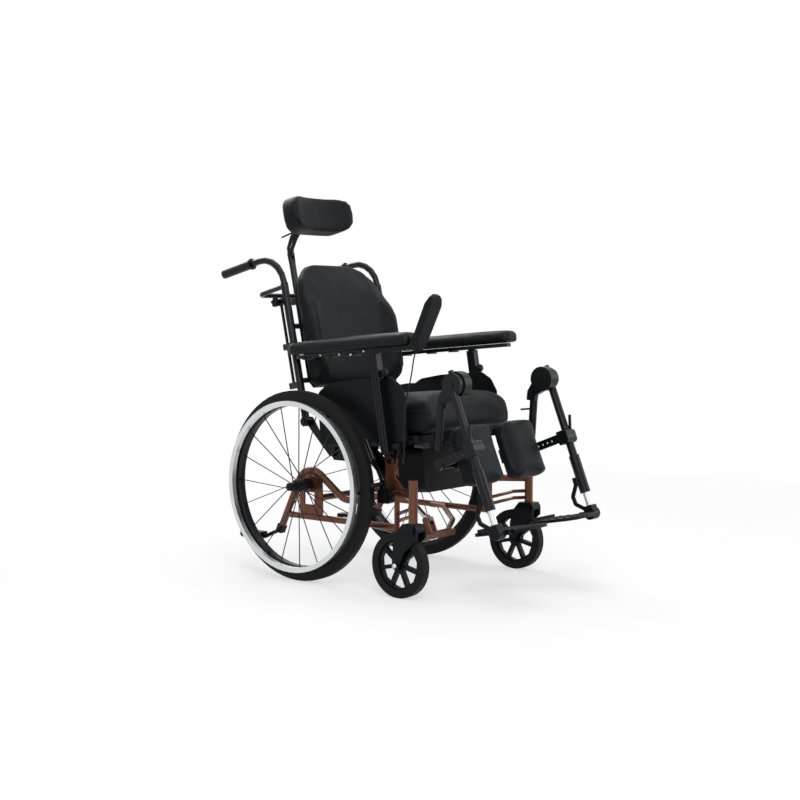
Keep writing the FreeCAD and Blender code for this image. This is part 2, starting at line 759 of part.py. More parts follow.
def back_ears():
    """The ear and pin of a backrest hinge; drawn in its tilted place."""
    ear = [(128, 440), (140, 398), (156, 396), (BACK_Y + 12, BACK_Z - 11), (BACK_Y + 15, BACK_Z + 6),
           (BACK_Y + 6, BACK_Z + 15), (BACK_Y - 6, BACK_Z + 15), (BACK_Y - 15, BACK_Z + 6), (184, 446)]
    plate = side_plate(ear, RAIL_X0 + 10, RAIL_X0 + 17)
    pin = cross_rod(RAIL_X0 + 16, BACK_X + BACK_R + 4, (BACK_Y, BACK_Z), BACK_PIN_R)
    return [plate, pin]


def crowned_outline(half, low, high, crown, tuck, shoulder):
    """A cushion's cross outline: flat foot, drawn-in sides, chamfered shoulders, arched top."""
    corners = [(-half + tuck, low), (half - tuck, low), (half, (low + high) / 2),
               (half - shoulder * 0.3, high - shoulder), (half - shoulder, high - shoulder * 0.3),
               (half - shoulder * 1.9, high)]
    return corners, (0, high + crown)


def crowned_face(place, half, low, high, crown, tuck, shoulder):
    """That outline as a flat face; place turns (across, up) into a point."""
    corners, top = crowned_outline(half, low, high, crown, tuck, shoulder)
    right = [V(*place(*c)) for c in corners[1:]]
    left = [V(*place(-a, b)) for a, b in reversed(corners[1:])]
    arch = Part.Arc(right[-1], V(*place(*top)), left[0]).toShape()
    edges = [Part.LineSegment(a, b).toShape() for a, b in zip(right, right[1:])]
    edges.append(arch)
    edges += [Part.LineSegment(a, b).toShape() for a, b in zip(left, left[1:])]
    edges.append(Part.LineSegment(left[-1], right[0]).toShape())
    return Part.Face(Part.Wire(edges))


def seat_cushion():
    """A deep cushion with a rolled front edge and drawn-in sides."""
    floor = RAIL_Z1 + PAN_T + SOFT_GAP
    cross = crowned_face(lambda a, b: (a, SEAT_FRONT - 20, b), SEAT_HALF, floor, SEAT_TOP,
                         SEAT_CROWN, 6, 24)
    body = cross.extrude(V(0, SEAT_REAR - SEAT_FRONT + 40, 0))
    high = SEAT_TOP + SEAT_CROWN + 1
    side = [(SEAT_FRONT + 26, floor), (SEAT_REAR - 4, floor), (SEAT_REAR, floor + 30),
            (SEAT_REAR - 6, high - 26), (SEAT_REAR - 26, high - 8), (SEAT_REAR - 70, high),
            (SEAT_FRONT + 92, high), (SEAT_FRONT, high - 14), (SEAT_FRONT, floor + 12)]
    radii = [0, 0, 0, 0, 0, 300, 150, SEAT_ROLL, 26]
    return tilted(body.common(side_plate(side, -SEAT_HALF - 5, SEAT_HALF + 5, radii)))


def side_panel():
    """A clothes guard: a thin moulded sheet with an arched top, held off the rail by two blocks."""
    world = [(189, 600), (145, 630), (58, 646), (-69, 656), (-112, 661), (-151, 639),
             (-175, 600)]
    outline = [level_place(p) for p in world]
    outline += [(-186, RAIL_Z0 + 12), (172, RAIL_Z0 + 12)]
    sheet = side_plate(outline, PANEL_X, PANEL_X + PANEL_T, [30, 60, 0, 120, 30, 30, 0, 0, 0])
    blocks = [block(RAIL_X1, PANEL_X + 1, y, y + 16, RAIL_Z0 + 12, RAIL_Z1) for y in (-60, 50, 130)]
    return tilted(fused([sheet, *blocks]))


def battery_box():
    """The battery case slung under the seat, with a wider lid and a fixing flange."""
    top = RAIL_Z0 - 8
    half = BATTERY_HALF
    outline = [(-half, BATTERY_Z0 + 16), (-half + 16, BATTERY_Z0), (half - 16, BATTERY_Z0),
               (half, BATTERY_Z0 + 16), (half, top - 30), (-half, top - 30)]
    case = front_plate(outline, BATTERY_Y0 + 3, BATTERY_Y1 - 3)
    lid = front_plate([(-half - 3, top - 32), (half + 3, top - 32), (half + 3, top - 8),
                       (half - 6, top), (-half + 6, top), (-half - 3, top - 8)],
                      BATTERY_Y0, BATTERY_Y1)
    flange = block(-70, 70, -88, -68, top - 1, RAIL_Z0)
    return tilted(fused([case, lid, flange]))


def control_box():
    """The small socket box on the right-hand seat rail."""
    x0, x1 = -ARM_X - 2, -RAIL_X1
    z0, z1 = RAIL_Z0 - 16, RAIL_Z0 + 10
    corners = [(x1, z0), (x1, z1), (x0 + 6, z1), (x0, z1 - 6), (x0, z0 + 6), (x0 + 6, z0)]
    return tilted(front_plate(corners, -165, -135))


# Tilt drive and recline strut

def along_line(start, end, distance):
    length = math.dist(start, end)
    return tuple(a + (b - a) * distance / length for a, b in zip(start, end))


def tilt_actuator():
    """Motor, gear head and outer tube, hung from a pin under the seat."""
    mouth = along_line(MOTOR_EYE, ROD_EYE, 196)
    tube = bent_tube([(0, *along_line(MOTOR_EYE, ROD_EYE, 50)), (0, *mouth)], [], 18)
    head = bar_between((0, *along_line(MOTOR_EYE, ROD_EYE, -11)), (0, *along_line(MOTOR_EYE, ROD_EYE, 66)), 50, 26)
    motor = bent_tube([(-18, *along_line(MOTOR_EYE, ROD_EYE, 60)), (-18, *along_line(MOTOR_EYE, ROD_EYE, 150))],
                      [], 16)
    body = fused([tube, head, motor])
    bore = sided_rod((0, *along_line(MOTOR_EYE, ROD_EYE, 50)), (0, *along_line(MOTOR_EYE, ROD_EYE, 220)),
                     ROD_R + RUN)
    return body.cut(bore).cut(cross_rod(-60, 60, MOTOR_EYE, ROD_PIN_R + RUN))


def tilt_rod():
    inner = along_line(ROD_EYE, MOTOR_EYE, 230)
    shaft = sided_rod((0, *along_line(ROD_EYE, MOTOR_EYE, 8)), (0, *inner), ROD_R)
    eye = bar_between((0, *along_line(ROD_EYE, MOTOR_EYE, -12)), (0, *along_line(ROD_EYE, MOTOR_EYE, 14)), 20, 22)
    return shaft.fuse(eye).cut(cross_rod(-60, 60, ROD_EYE, ROD_PIN_R + ROD_PIN_CLEAR))


def recline_places():
    return level_to_world(RECLINE_EYE), RECLINE_ARM


def level_to_world(place):
    angle = math.radians(SEAT_TILT)
    y, z = place[0] - TILT_Y, place[1] - TILT_Z
    return (TILT_Y + y * math.cos(angle) + z * math.sin(angle),
            TILT_Z - y * math.sin(angle) + z * math.cos(angle))


def recline_strut():
    eye, arm = recline_places()
    tube = sided_rod((RECLINE_X, *along_line(eye, arm, -8)), (RECLINE_X, *along_line(eye, arm, 120)),
                     RECLINE_TUBE_R)
    bore = sided_rod((RECLINE_X, *along_line(eye, arm, 12)), (RECLINE_X, *along_line(eye, arm, 200)),
                     RECLINE_ROD_R + RUN)
    return tube.cut(bore).cut(cross_rod(0, 200, eye, RECLINE_PIN_R + RUN))


def recline_rod():
    eye, arm = recline_places()
    shaft = sided_rod((RECLINE_X, *along_line(arm, eye, 5)), (RECLINE_X, *along_line(arm, eye, 145)),
                      RECLINE_ROD_R)
    boss = bar_between((RECLINE_X, *along_line(arm, eye, -9)), (RECLINE_X, *along_line(arm, eye, 10)), 18, 18)
    return shaft.fuse(boss).cut(cross_rod(0, 200, arm, RECLINE_PIN_R + RECLINE_PIN_CLEAR))


# Backrest, drawn upright and then leaned about its hinge

def leaned(shape):
    return turned(shape, (BACK_Y, BACK_Z), BACK_LEAN)


def upright_place(place):
    """Where a leaned (y, z) point lies with the back tubes upright."""
    angle = math.radians(BACK_LEAN)
    y, z = place[0] - BACK_Y, place[1] - BACK_Z
    return (BACK_Y + y * math.cos(angle) - z * math.sin(angle),
            BACK_Z + y * math.sin(angle) + z * math.cos(angle))


def back_frame():
    """Two tubes on the hinge pins, with cross bars, the rear stay and the headrest's receiver."""
    pieces = []
    for s in (-1, 1):
        x = s * BACK_X
        pieces.append(sided_rod((x, BACK_Y, BACK_Z), (x, BACK_Y, BACK_TUBE_TOP), BACK_R + 0.8))
        pieces.append(sided_cross(*sorted((s * (RAIL_X0 + 18), s * (BACK_X + BACK_R))), (BACK_Y, BACK_Z), 16))
        for z in (628, 757, 906):
            pieces.append(block(x - 11, x + 11, BACK_Y + 4, BACK_Y + 40, z - 10, z + 10))
        pieces.append(bar_between((x, BACK_Y + 28, 620), (x, BACK_Y + 28, 905), 7, 7))
        pieces.append(cross_rod(*sorted((x, s * KNOB_X)), KNOB_PLACE, 4))
    for z in (545, 640, 820):
        pieces.append(sided_cross(-BACK_X, BACK_X, (BACK_Y, z), 9))
    for z in (640, 820):
        for x in (-150, 150):
            pieces.append(block(x - 12, x + 12, BACK_Y + SHELL_BACK, BACK_Y, z - 6, z + 6))
    stay = [(-BACK_X, BACK_Y, STAY_Z), (-BACK_X, STAY_Y, STAY_Z - 4),
            (BACK_X, STAY_Y, STAY_Z - 4), (BACK_X, BACK_Y, STAY_Z)]
    pieces.append(bent_tube(stay, 30, STAY_R))
    pieces.append(block(-22, 22, STAY_Y - 12, POLE_Y + 14, STAY_Z - 24, STAY_Z + 14))
    ay, az = upright_place(RECLINE_ARM)
    arm = [(BACK_Y - 8, BACK_Z + 44), (ay - 8, az + 2), (ay - 6, az - 8), (ay + 6, az - 8), (ay + 8, az),
           (BACK_Y + 9, BACK_Z + 24), (BACK_Y + 9, BACK_Z + 44)]
    pieces += [side_plate(arm, x, x + 4) for x in (RECLINE_X - 15, RECLINE_X + 11)]
    pieces.append(cross_rod(RECLINE_X - 15, RECLINE_X + 15, (ay, az), RECLINE_PIN_R))
    frame = fused(pieces)
    holes = []
    for s in (-1, 1):
        x = s * BACK_X
        holes.append(sided_rod((x, BACK_Y, 700), (x, BACK_Y, BACK_TUBE_TOP + 2), HANDLE_R + RUN))
        holes.append(cross_rod(*sorted((s * RAIL_X0, s * (BACK_X + 40))), (BACK_Y, BACK_Z), BACK_PIN_R + RUN))
    half_w, half_t = POLE_W / 2 + RUN, POLE_T / 2 + RUN
    holes.append(block(-half_w, half_w, POLE_Y - half_t, POLE_Y + half_t, 800, 1100))
    return leaned(frame.cut(Part.makeCompound(holes)))


def star_knob():
    """A five-pointed clamping knob that turns on the clamp's stud."""
    corners = []
    for i in range(5):
        for shift, radius in ((-0.22, 15), (0.22, 15), (0.63, 10.5)):
            corners.append(on_circle(radius, i * 2 * math.pi / 5 + shift, KNOB_PLACE))
    knob = side_plate(corners, KNOB_X - 12, KNOB_X + 4)
    return leaned(knob.cut(cross_rod(KNOB_X - 20, KNOB_X + 0.5, KNOB_PLACE, 4 + RUN)))


def back_curve():
    """The back's side line where shell and cushion meet: upright, then drawn back at the shoulders."""
    y = BACK_Y + SHELL_BACK - SHELL_T
    return [(y, BACK_BOTTOM - 5), (y, BACK_CURVE_Z), (y + BACK_CURVE, BACK_TOP + 5)]


def back_outline(half, low, high, y0, y1):
    """The back's shape seen from the front, with broad rounded shoulders."""
    right = [(half - 20, low), (half, low + 24), (half, high - 216), (half - 14, high - 120),
             (half - 34, high - 60), (half - 78, high - 18), (half - 128, high)]
    left = [(-x, z) for x, z in reversed(right)]
    return front_plate(left + right, y0, y1, [0] * 14)


def back_shell():
    """The back plate in front of the cross bars, bent rearward above the top one."""
    line = back_curve()
    outline = line + [(y + SHELL_T, z) for y, z in reversed(line)]
    sheet = side_plate(outline, -SHELL_HALF, SHELL_HALF)
    return leaned(sheet.common(back_outline(SHELL_HALF, BACK_BOTTOM + 6, BACK_TOP - 12, 0, 400)))


def back_cushion():
    """A cushion hollowed for the body, with full side wings and shoulders drawn in and back."""
    half, front = BACK_HALF, BACK_FRONT
    rear = BACK_Y + BACK_CURVE + 10
    right = [V(half - 2, rear, 0), V(half + 2, front + 20, 0), V(half, front - 6, 0),
             V(half - 14, front - BACK_WING, 0), V(half - 34, front - BACK_WING, 0), V(half - 64, front, 0)]
    left = [V(-p.x, p.y, 0) for p in reversed(right)]
    corners = [*left, *right]
    edges = [Part.LineSegment(a, b).toShape() for a, b in zip(corners, corners[1:])]
    edges[5] = Part.LineSegment(left[-1], right[0]).toShape()
    edges.append(Part.Arc(right[-1], V(0, front + 8, 0), left[0]).toShape())
    body = Part.Face(Part.Wire(edges)).extrude(V(0, 0, 600))
    body.translate(V(0, 0, 560))
    body = body.common(back_outline(half + 2, BACK_BOTTOM, BACK_TOP, 0, 400))
    low, high, y0 = BACK_BOTTOM, BACK_TOP, front - BACK_WING - 5
    profile = [(y - SOFT_GAP, z) for y, z in back_curve()]
    profile += [(front + 52, high + 5), (front + 40, high - 22), (front + 12, high - 96),
                (front - 8, high - 150), (y0, high - 220), (y0, low + 70), (front + 4, low + 14),
                (front + 20, low - 5)]
    return leaned(body.common(side_plate(profile, -400, 400)))


def push_handle():
    """The bent handle that slides in the back tube, with its rubber grip."""
    x = BACK_X
    route = [(x, BACK_Y, 720), (x, BACK_Y, HANDLE_Z), (x, HANDLE_END, HANDLE_Z - HANDLE_DROP)]
    slope = V(0, HANDLE_END - BACK_Y, -HANDLE_DROP).normalize()
    end = V(x, HANDLE_END, HANDLE_Z - HANDLE_DROP) + slope * 4
    grip = bent_tube([tuple(end - slope * GRIP_LENGTH), tuple(end)], [], GRIP_R, 10)
    flange = bent_tube([tuple(end - slope * GRIP_LENGTH), tuple(end - slope * (GRIP_LENGTH - 6))],
                       [], GRIP_R + 4, 10)
    return leaned(fused([bent_tube(route, HANDLE_BEND, HANDLE_R), grip, flange]))


# Headrest

def headrest_pole():
    pole = block(-POLE_W / 2, POLE_W / 2, POLE_Y - POLE_T / 2, POLE_Y + POLE_T / 2,
                 POLE_Z0, LINK_Z - 20)
    cheek = [(POLE_Y - 6, LINK_Z - 30), (POLE_Y - 8, LINK_Z + 4), (POLE_Y - 4, LINK_Z + 8),
             (POLE_Y + 4, LINK_Z + 8), (POLE_Y + 8, LINK_Z + 4), (POLE_Y + 6, LINK_Z - 30)]
    cheeks = [side_plate(cheek, x, x + 5) for x in (-LINK_HALF - 5.5, LINK_HALF + 0.5)]
    pin = cross_rod(-LINK_HALF - 2, LINK_HALF + 2, (POLE_Y, LINK_Z), HEAD_PIN_R)
    return leaned(fused([pole, *cheeks, pin]))


def headrest_link():
    """A curved link with a long slot between the pole and the pad's hinge."""
    bow = [(POLE_Y + 4, LINK_Z - 10), (POLE_Y + 11, LINK_Z), (POLE_Y + 10, LINK_Z + 26),
           (POLE_Y - 14, LINK_Z + 62), (HEAD_Y + 10, HEAD_Z + 11), (HEAD_Y - 5, HEAD_Z + 9),
           (HEAD_Y - 10, HEAD_Z), (HEAD_Y - 4, HEAD_Z - 9), (POLE_Y - 36, LINK_Z + 44),
           (POLE_Y - 13, LINK_Z + 16), (POLE_Y - 9, LINK_Z - 6)]
    link = side_plate(bow, -LINK_HALF, LINK_HALF)
    slot = [(POLE_Y + 3, LINK_Z + 16), (POLE_Y + 2, LINK_Z + 26), (POLE_Y - 20, LINK_Z + 56),
            (POLE_Y - 28, LINK_Z + 52), (POLE_Y - 6, LINK_Z + 20)]
    holes = [cross_rod(-60, 60, (POLE_Y, LINK_Z), HEAD_PIN_R + RUN),
             cross_rod(-60, 60, (HEAD_Y, HEAD_Z), HEAD_PIN_R + RUN),
             side_plate(slot, -60, 60)]
    return leaned(link.cut(Part.makeCompound(holes)))


def headrest_plate():
    """The pad's back plate with a hinge fork and a clamping lever."""
    y0 = HEAD_PAD_BACK + SOFT_GAP
    z0 = HEAD_PAD_Z0 + 16
    plate = front_plate([(-90, z0 + 20), (-70, z0), (70, z0), (90, z0 + 20), (90, z0 + 60),
                         (70, z0 + 80), (-70, z0 + 80), (-90, z0 + 60)], y0, y0 + 5)
    cheek = [(y0 + 3, HEAD_Z - 14), (HEAD_Y + 6, HEAD_Z - 8), (HEAD_Y + 10, HEAD_Z),
             (HEAD_Y + 6, HEAD_Z + 8), (y0 + 3, HEAD_Z + 14)]
    cheeks = [side_plate(cheek, x, x + 5) for x in (-LINK_HALF - 5.5, LINK_HALF + 0.5)]
    pin = cross_rod(-LINK_HALF - 2, LINK_HALF + 2, (HEAD_Y, HEAD_Z), HEAD_PIN_R)
    lever = bar_between((-LINK_HALF - 4, HEAD_Y + 2, HEAD_Z), (-34, HEAD_Y + 54, HEAD_Z - 12), 6, 6)
    return leaned(fused([plate, *cheeks, pin, lever]))


def headrest_pad():
    """A pad curved round the head, thicker in the middle, with drawn-in top and bottom."""
    back, half = HEAD_PAD_BACK, HEAD_PAD_HALF
    z0, z1 = HEAD_PAD_Z0, HEAD_PAD_Z1
    front = back - HEAD_PAD_T
    right = [V(half - 12, back - 34, 0), V(half, back - 48, 0), V(half - 2, front - 22, 0),
             V(half - 16, front - 28, 0), V(half - 34, front - 22, 0)]
    left = [V(-p.x, p.y, 0) for p in reversed(right)]
    edges = [Part.Arc(left[-1], V(0, back, 0), right[0]).toShape()]
    edges += [Part.LineSegment(a, b).toShape() for a, b in zip(right, right[1:])]
    edges.append(Part.Arc(right[-1], V(0, front + 4, 0), left[0]).toShape())
    edges += [Part.LineSegment(a, b).toShape() for a, b in zip(left, left[1:])]
    body = Part.Face(Part.Wire(edges)).extrude(V(0, 0, z1 - z0))
    body.translate(V(0, 0, z0))
    right = [(half - 64, z0), (half - 31, z0 + 10), (half - 9, z0 + 34), (half + 1, (z0 + z1) / 2),
             (half - 9, z1 - 34), (half - 31, z1 - 10), (half - 64, z1)]
    outline = right + [(-x, z) for x, z in reversed(right)]
    body = body.common(front_plate(outline, front - 60, back + 10))
    side = [(back + 1, z0 + 10), (back + 1, z1 - 10), (back - 18, z1 + 1), (front - 6, z1 + 1),
            (front - 30, z1 - 16), (front - 30, z0 + 16), (front - 4, z0 - 1), (back - 18, z0 - 1)]
    return leaned(body.common(side_plate(side, -half - 5, half + 5)))


# Armrests

def arm_axis():
    return (V(0, *SOCKET_HEAD) - V(0, *SOCKET_FOOT)).normalize()


def arm_frame():
    """The square bar that slides in the post, with the rail that carries the pad."""
    axis = arm_axis()
    head = V(ARM_X, *SOCKET_HEAD)
    bar = bar_between(tuple(head - axis * 210), tuple(head + axis * 8), ARM_BAR_W, ARM_BAR_D)
    y0, y1, half = PAD_FRONT + 14, PAD_REAR - 16, 17
    rail = floor_plate([(ARM_X - half + 6, y0), (ARM_X + half - 6, y0), (ARM_X + half, y0 + 8),
                        (ARM_X + half, y1 - 8), (ARM_X + half - 6, y1), (ARM_X - half + 6, y1),
                        (ARM_X - half, y1 - 8), (ARM_X - half, y0 + 8)], PAD_BOTTOM - 12, PAD_BOTTOM)
    slots = [block(ARM_X - 5, ARM_X + 5, y, y + 40, PAD_BOTTOM - 20, PAD_BOTTOM + 2) for y in (20, 130)]
    lugs = [block(ARM_X - half - 4, ARM_X + half + 4, y, y + 12, PAD_BOTTOM - 16, PAD_BOTTOM - 6)
            for y in (-18, 76, 186)]
    return tilted(fused([bar, rail.cut(Part.makeCompound(slots)), *lugs]))


def arm_pad():
    """A long padded rest with an arched top, drawn-in sides and rounded ends."""
    half = (PAD_OUT - PAD_IN) / 2
    mid = (PAD_OUT + PAD_IN) / 2
    floor = PAD_BOTTOM + SOFT_GAP
    cross = crowned_face(lambda a, b: (mid + a, PAD_FRONT - 5, b), half, floor, PAD_TOP, 3, 4, 9)
    body = cross.extrude(V(0, PAD_REAR - PAD_FRONT + 10, 0))
    y0, y1 = PAD_FRONT, PAD_REAR
    plan = [(mid - half + 14, y0), (mid + half - 14, y0), (mid + half + 1, y0 + 26), (mid + half + 1, y1 - 26),
            (mid + half - 14, y1), (mid - half + 14, y1), (mid - half - 1, y1 - 26), (mid - half - 1, y0 + 26)]
    body = body.common(floor_plate(plan, floor - 1, PAD_TOP + 9, [12, 12, 30, 30, 12, 12, 30, 30]))
    side = [(y0, floor + 6), (y0 + 8, floor - 1), (y1 - 8, floor - 1), (y1, floor + 6), (y1, PAD_TOP - 12),
            (y1 - 14, PAD_TOP + 5), (y0 + 14, PAD_TOP + 5), (y0, PAD_TOP - 12)]
    return tilted(body.common(side_plate(side, PAD_IN - 5, PAD_OUT + 5)))


# Handset and cord

def handset_axes():
    angle = math.radians(HANDSET_LEAN)
    return V(0, -math.sin(angle), math.cos(angle)), V(0, math.cos(angle), math.sin(angle))


def handset_at(along, out, x):
    axis, face = handset_axes()
    return V(HANDSET_X + x, *HANDSET_FOOT) + axis * along + face * out


def handset_case():
    """A slim handset in a holder at the front of the right armrest, its keys to the user."""
    face = handset_axes()[1]
    half, thick, length = HANDSET_HALF, HANDSET_THICK, HANDSET_LENGTH
    outline = [(-14, 0), (14, 0), (23, 14), (half - 2, 60), (half, length - 34), (half - 6, length - 10),
               (10, length), (-10, length), (-half + 6, length - 10), (-half, length - 34),
               (-half + 2, 60), (-23, 14)]
    corners = [tuple(handset_at(along, -thick, x)) for x, along in outline]
    case = flat_prism(corners, tuple(face), 2 * thick)
    axis = handset_axes()[0]
    slice_side = [handset_at(-2, -thick + 4, -40), handset_at(20, -thick - 0.1, -40),
                  handset_at(length - 26, -thick - 0.1, -40), handset_at(length + 1, -thick + 7, -40),
                  handset_at(length + 1, thick - 5, -40), handset_at(length - 30, thick + 0.1, -40),
                  handset_at(24, thick + 0.1, -40), handset_at(-2, thick - 5, -40)]
    case = case.common(flat_prism([tuple(p) for p in slice_side], (1, 0, 0), 80))
    wells = []
    for i in range(3):
        for x in (-KEY_PITCH, KEY_PITCH):
            wells.append(key_block(i, x, KEY_HALF + 0.3, 4, thick + 6))
    return case.cut(Part.makeCompound(wells))


def key_block(row, x, half, low, high):
    """A square block standing out of the handset's face at one key's place."""
    along = HANDSET_LENGTH - 92 + KEY_ROW * row
    face = handset_axes()[1]
    corners = [handset_at(along + b * half, low, x + a * half) for a, b in ((-1, -1), (1, -1), (1, 1), (-1, 1))]
    return flat_prism([tuple(c) for c in corners], tuple(face), high - low)


def handset_keys():
    keys = []
    for i in range(3):
        for x in (-KEY_PITCH, KEY_PITCH):
            keys.append(key_block(i, x, KEY_HALF, 4.3 + KEY_TRAVEL, 14))
    return keys


def handset_holder():
    """The bracket from the armrest rail to the handset, part of the right arm frame."""
    start = V(HANDSET_X, *level_to_world((PAD_FRONT + 20, PAD_BOTTOM - 9)))
    face = handset_axes()[1]
    near, far = HANDSET_THICK + 0.2, HANDSET_THICK + 5
    corners = [handset_at(along, near, x) for x, along in ((-20, 4), (20, 4), (20, 44), (-20, 44))]
    cradle = flat_prism([tuple(c) for c in corners], tuple(face), far - near)
    foot = handset_at(6, (near + far) / 2, 0)
    strap = bar_between(tuple(start), tuple(foot), 16, 6)
    return [strap, cradle]


def arc_radii(route):
    """Each bend's radius: 0.45 of the shorter run over the tangent of half the turn."""
    points = [V(*p) for p in route]
    radii = []
    for a, b, c in zip(points, points[1:], points[2:]):
        turn = (b - a).getAngle(c - b)
        shorter = min((b - a).Length, (c - b).Length)
        radii.append(0.45 * shorter / math.tan(turn / 2))
    return radii


def cord(route, name):
    radii = arc_radii(route)
    print(name, "bend radii", [round(r) for r in radii])
    path = Part.Wire(tangent_edges(route, [0, *radii, 0], False))
    tube = pipe_along(path, route, CORD_D / 2, 6, V(1, 0, 0))
    length = sum(e.Length for e in tangent_edges(route, [0, *radii, 0], False))
    section = 1.5 * math.sqrt(3) * (CORD_D / 2) ** 2
    print(name, "length", round(length), "volume ratio", round(tube.Volume / (section * length), 4))
    return tube


def curly_cord():
    x, y, z = CURL_TOP
    return sided_rod((x, y, z), (x, y, z - CURL_LENGTH), CURL_OD / 2)


# Legrests: the swinging hanger, then pieces drawn along the leg and turned to its angle

def leg_hanger():
    """The swing-away bracket: a sleeve on the upright pin and the knee housing."""
    sleeve = sided_rod((SWING_X, *swing_point(474.5)), (SWING_X, *swing_point(588)), SWING_R)
    inner = sided_cross(SWING_X - 35, SWING_X - 1, (KNEE_Y, KNEE_Z), KNEE_R_IN, 20)
    neck = side_plate([(-300, 575), (-303, 604), (KNEE_Y + 30, KNEE_Z + 10), (KNEE_Y, KNEE_Z),
                       (KNEE_Y, KNEE_Z - 38), (-334, 590), (-331, 572)], SWING_X - 20, SWING_X - 1)
    pin = cross_rod(SWING_X - 2, SWING_X + KNEE_T + 3, (KNEE_Y, KNEE_Z), KNEE_PIN_R)
    y, z = swing_point(545)
    latch = bar_between((SWING_X, y + 9, z), (SWING_X, y + 48, z - 4), 6, 6)
    body = fused([sleeve, inner, neck, pin, latch])
    bore = rod((SWING_X, *swing_point(440)), (SWING_X, *swing_point(576)), SWING_PIN_R + RUN)
    return body.cut(bore)


def leg_line(shape):
    """Turns a piece drawn hanging straight down from the knee to the leg's angle."""
    copy = shape.copy()
    copy.rotate(V(0, KNEE_Y, KNEE_Z), V(1, 0, 0), -LEG_ANGLE)
    return copy


def down(s, back=0):
    """The (y, z) place s below the knee and back behind the leg's line, before turning."""
    return (KNEE_Y + back, KNEE_Z - s)


def leg_tube():
    """Knee disc, outer tube, calf clamp with its drilled bracket, and lower sleeve."""
    disc = sided_cross(SWING_X, SWING_X + KNEE_T, (KNEE_Y, KNEE_Z), KNEE_R_OUT, 20)
    knob = block(SWING_X + 3, SWING_X + 14, KNEE_Y - 14, KNEE_Y - 2, KNEE_Z + KNEE_R_OUT - 8,
                 KNEE_Z + KNEE_R_OUT + 7)
    tube = sided_rod((LEG_X, *down(KNEE_R_OUT - 10)), (LEG_X, *down(SLEEVE_TOP + 4)), LEG_R)
    sleeve = bent_tube([(LEG_X, *down(SLEEVE_TOP)), (LEG_X, *down(SLEEVE_END))], [], SLEEVE_R)
    s = CLAMP_S
    clamp = side_plate([down(s - 14, -22), down(s - 22, -14), down(s - 22, 16), down(s + 22, 16),
                        down(s + 22, -14), down(s + 14, -22)], SWING_X - 23, LEG_X + 18)
    handle = bar_between((LEG_X + 10, *down(s - 18, -10)), (LEG_X + 10, *down(s - 66, -26)), 7, 7)
    reach = BRACKET_REACH
    outline = [down(s - 14, 10), down(s - 14, reach - 6), down(s - 2, reach + 6), down(s + 14, reach + 2),
               down(s + 20, reach - 10), down(s + 14, reach - 24), down(s + 14, 10)]
    bracket = side_plate(outline, SWING_X - 25, SWING_X - 17)
    body = fused([disc, knob, tube, sleeve, clamp, handle, bracket])
    holes = [sided_cross(SWING_X - 40, SWING_X - 10, down(s, 40 + 18 * i), 4) for i in range(4)]
    holes.append(cross_rod(SWING_X - 40, SWING_X - 5, down(CALF_PIVOT[1], CALF_PIVOT[0]), CALF_PIN_R + RUN))
    holes.append(cross_rod(SWING_X - 2, SWING_X + 60, (KNEE_Y, KNEE_Z), KNEE_PIN_R + RUN))
    holes.append(sided_rod((LEG_X, *down(248)), (LEG_X, *down(SLEEVE_END + 4)), INNER_R + RUN, 12))
    return leg_line(body.cut(Part.makeCompound(holes)))


def calf_carrier():
    """The arm that holds the calf pad on the bracket's bolt."""
    back, s = CALF_PIVOT
    x0 = SWING_X - 25
    pin = cross_rod(x0 - 6, x0 + 12, down(s, back), CALF_PIN_R)
    bar = block(CALF_X0 + 96, x0 - 0.5, KNEE_Y + back - 6, KNEE_Y + back + 6,
                KNEE_Z - s - 12, KNEE_Z - s + 12)
    web = block(CALF_X0 + 56, CALF_X1 - 40, KNEE_Y + CALF_BACK + SOFT_GAP, KNEE_Y + back + 6,
                KNEE_Z - s - 22, KNEE_Z - s + 22)
    return leg_line(fused([pin, bar, web]))


def calf_pad():
    """A pad hollowed along the calf, with rounded ends and drawn-in sides."""
    mid, half = (CALF_X0 + CALF_X1) / 2, (CALF_X1 - CALF_X0) / 2
    top, low = KNEE_Z - CALF_S0, KNEE_Z - CALF_S1
    back, front = KNEE_Y + CALF_BACK, KNEE_Y + CALF_FRONT
    cross = crowned_face(lambda a, b: (mid + a, -b, low), half, -back, -front - 6, 6, 6, 13)
    body = cross.extrude(V(0, 0, top - low))
    outline = [(mid - half + 30, low), (mid + half - 30, low), (mid + half - 6, low + 14),
               (mid + half + 1, low + 40), (mid + half + 1, top - 60), (mid + half - 8, top - 18),
               (mid + half - 34, top), (mid - half + 34, top), (mid - half + 8, top - 18),
               (mid - half - 1, top - 60), (mid - half - 1, low + 40), (mid - half + 6, low + 14)]
    body = body.common(front_plate(outline, front - 20, back + 10))
    side = [(back + 1, low + 6), (back + 1, top - 6), (back - 8, top + 1), (front + 24, top + 1),
            (front + 4, top - 10), (front - 1, top - 30), (front - 1, low + 30), (front + 4, low + 10),
            (front + 24, low - 1), (back - 8, low - 1)]
    return leg_line(body.common(side_plate(side, CALF_X0 - 5, CALF_X1 + 5)))


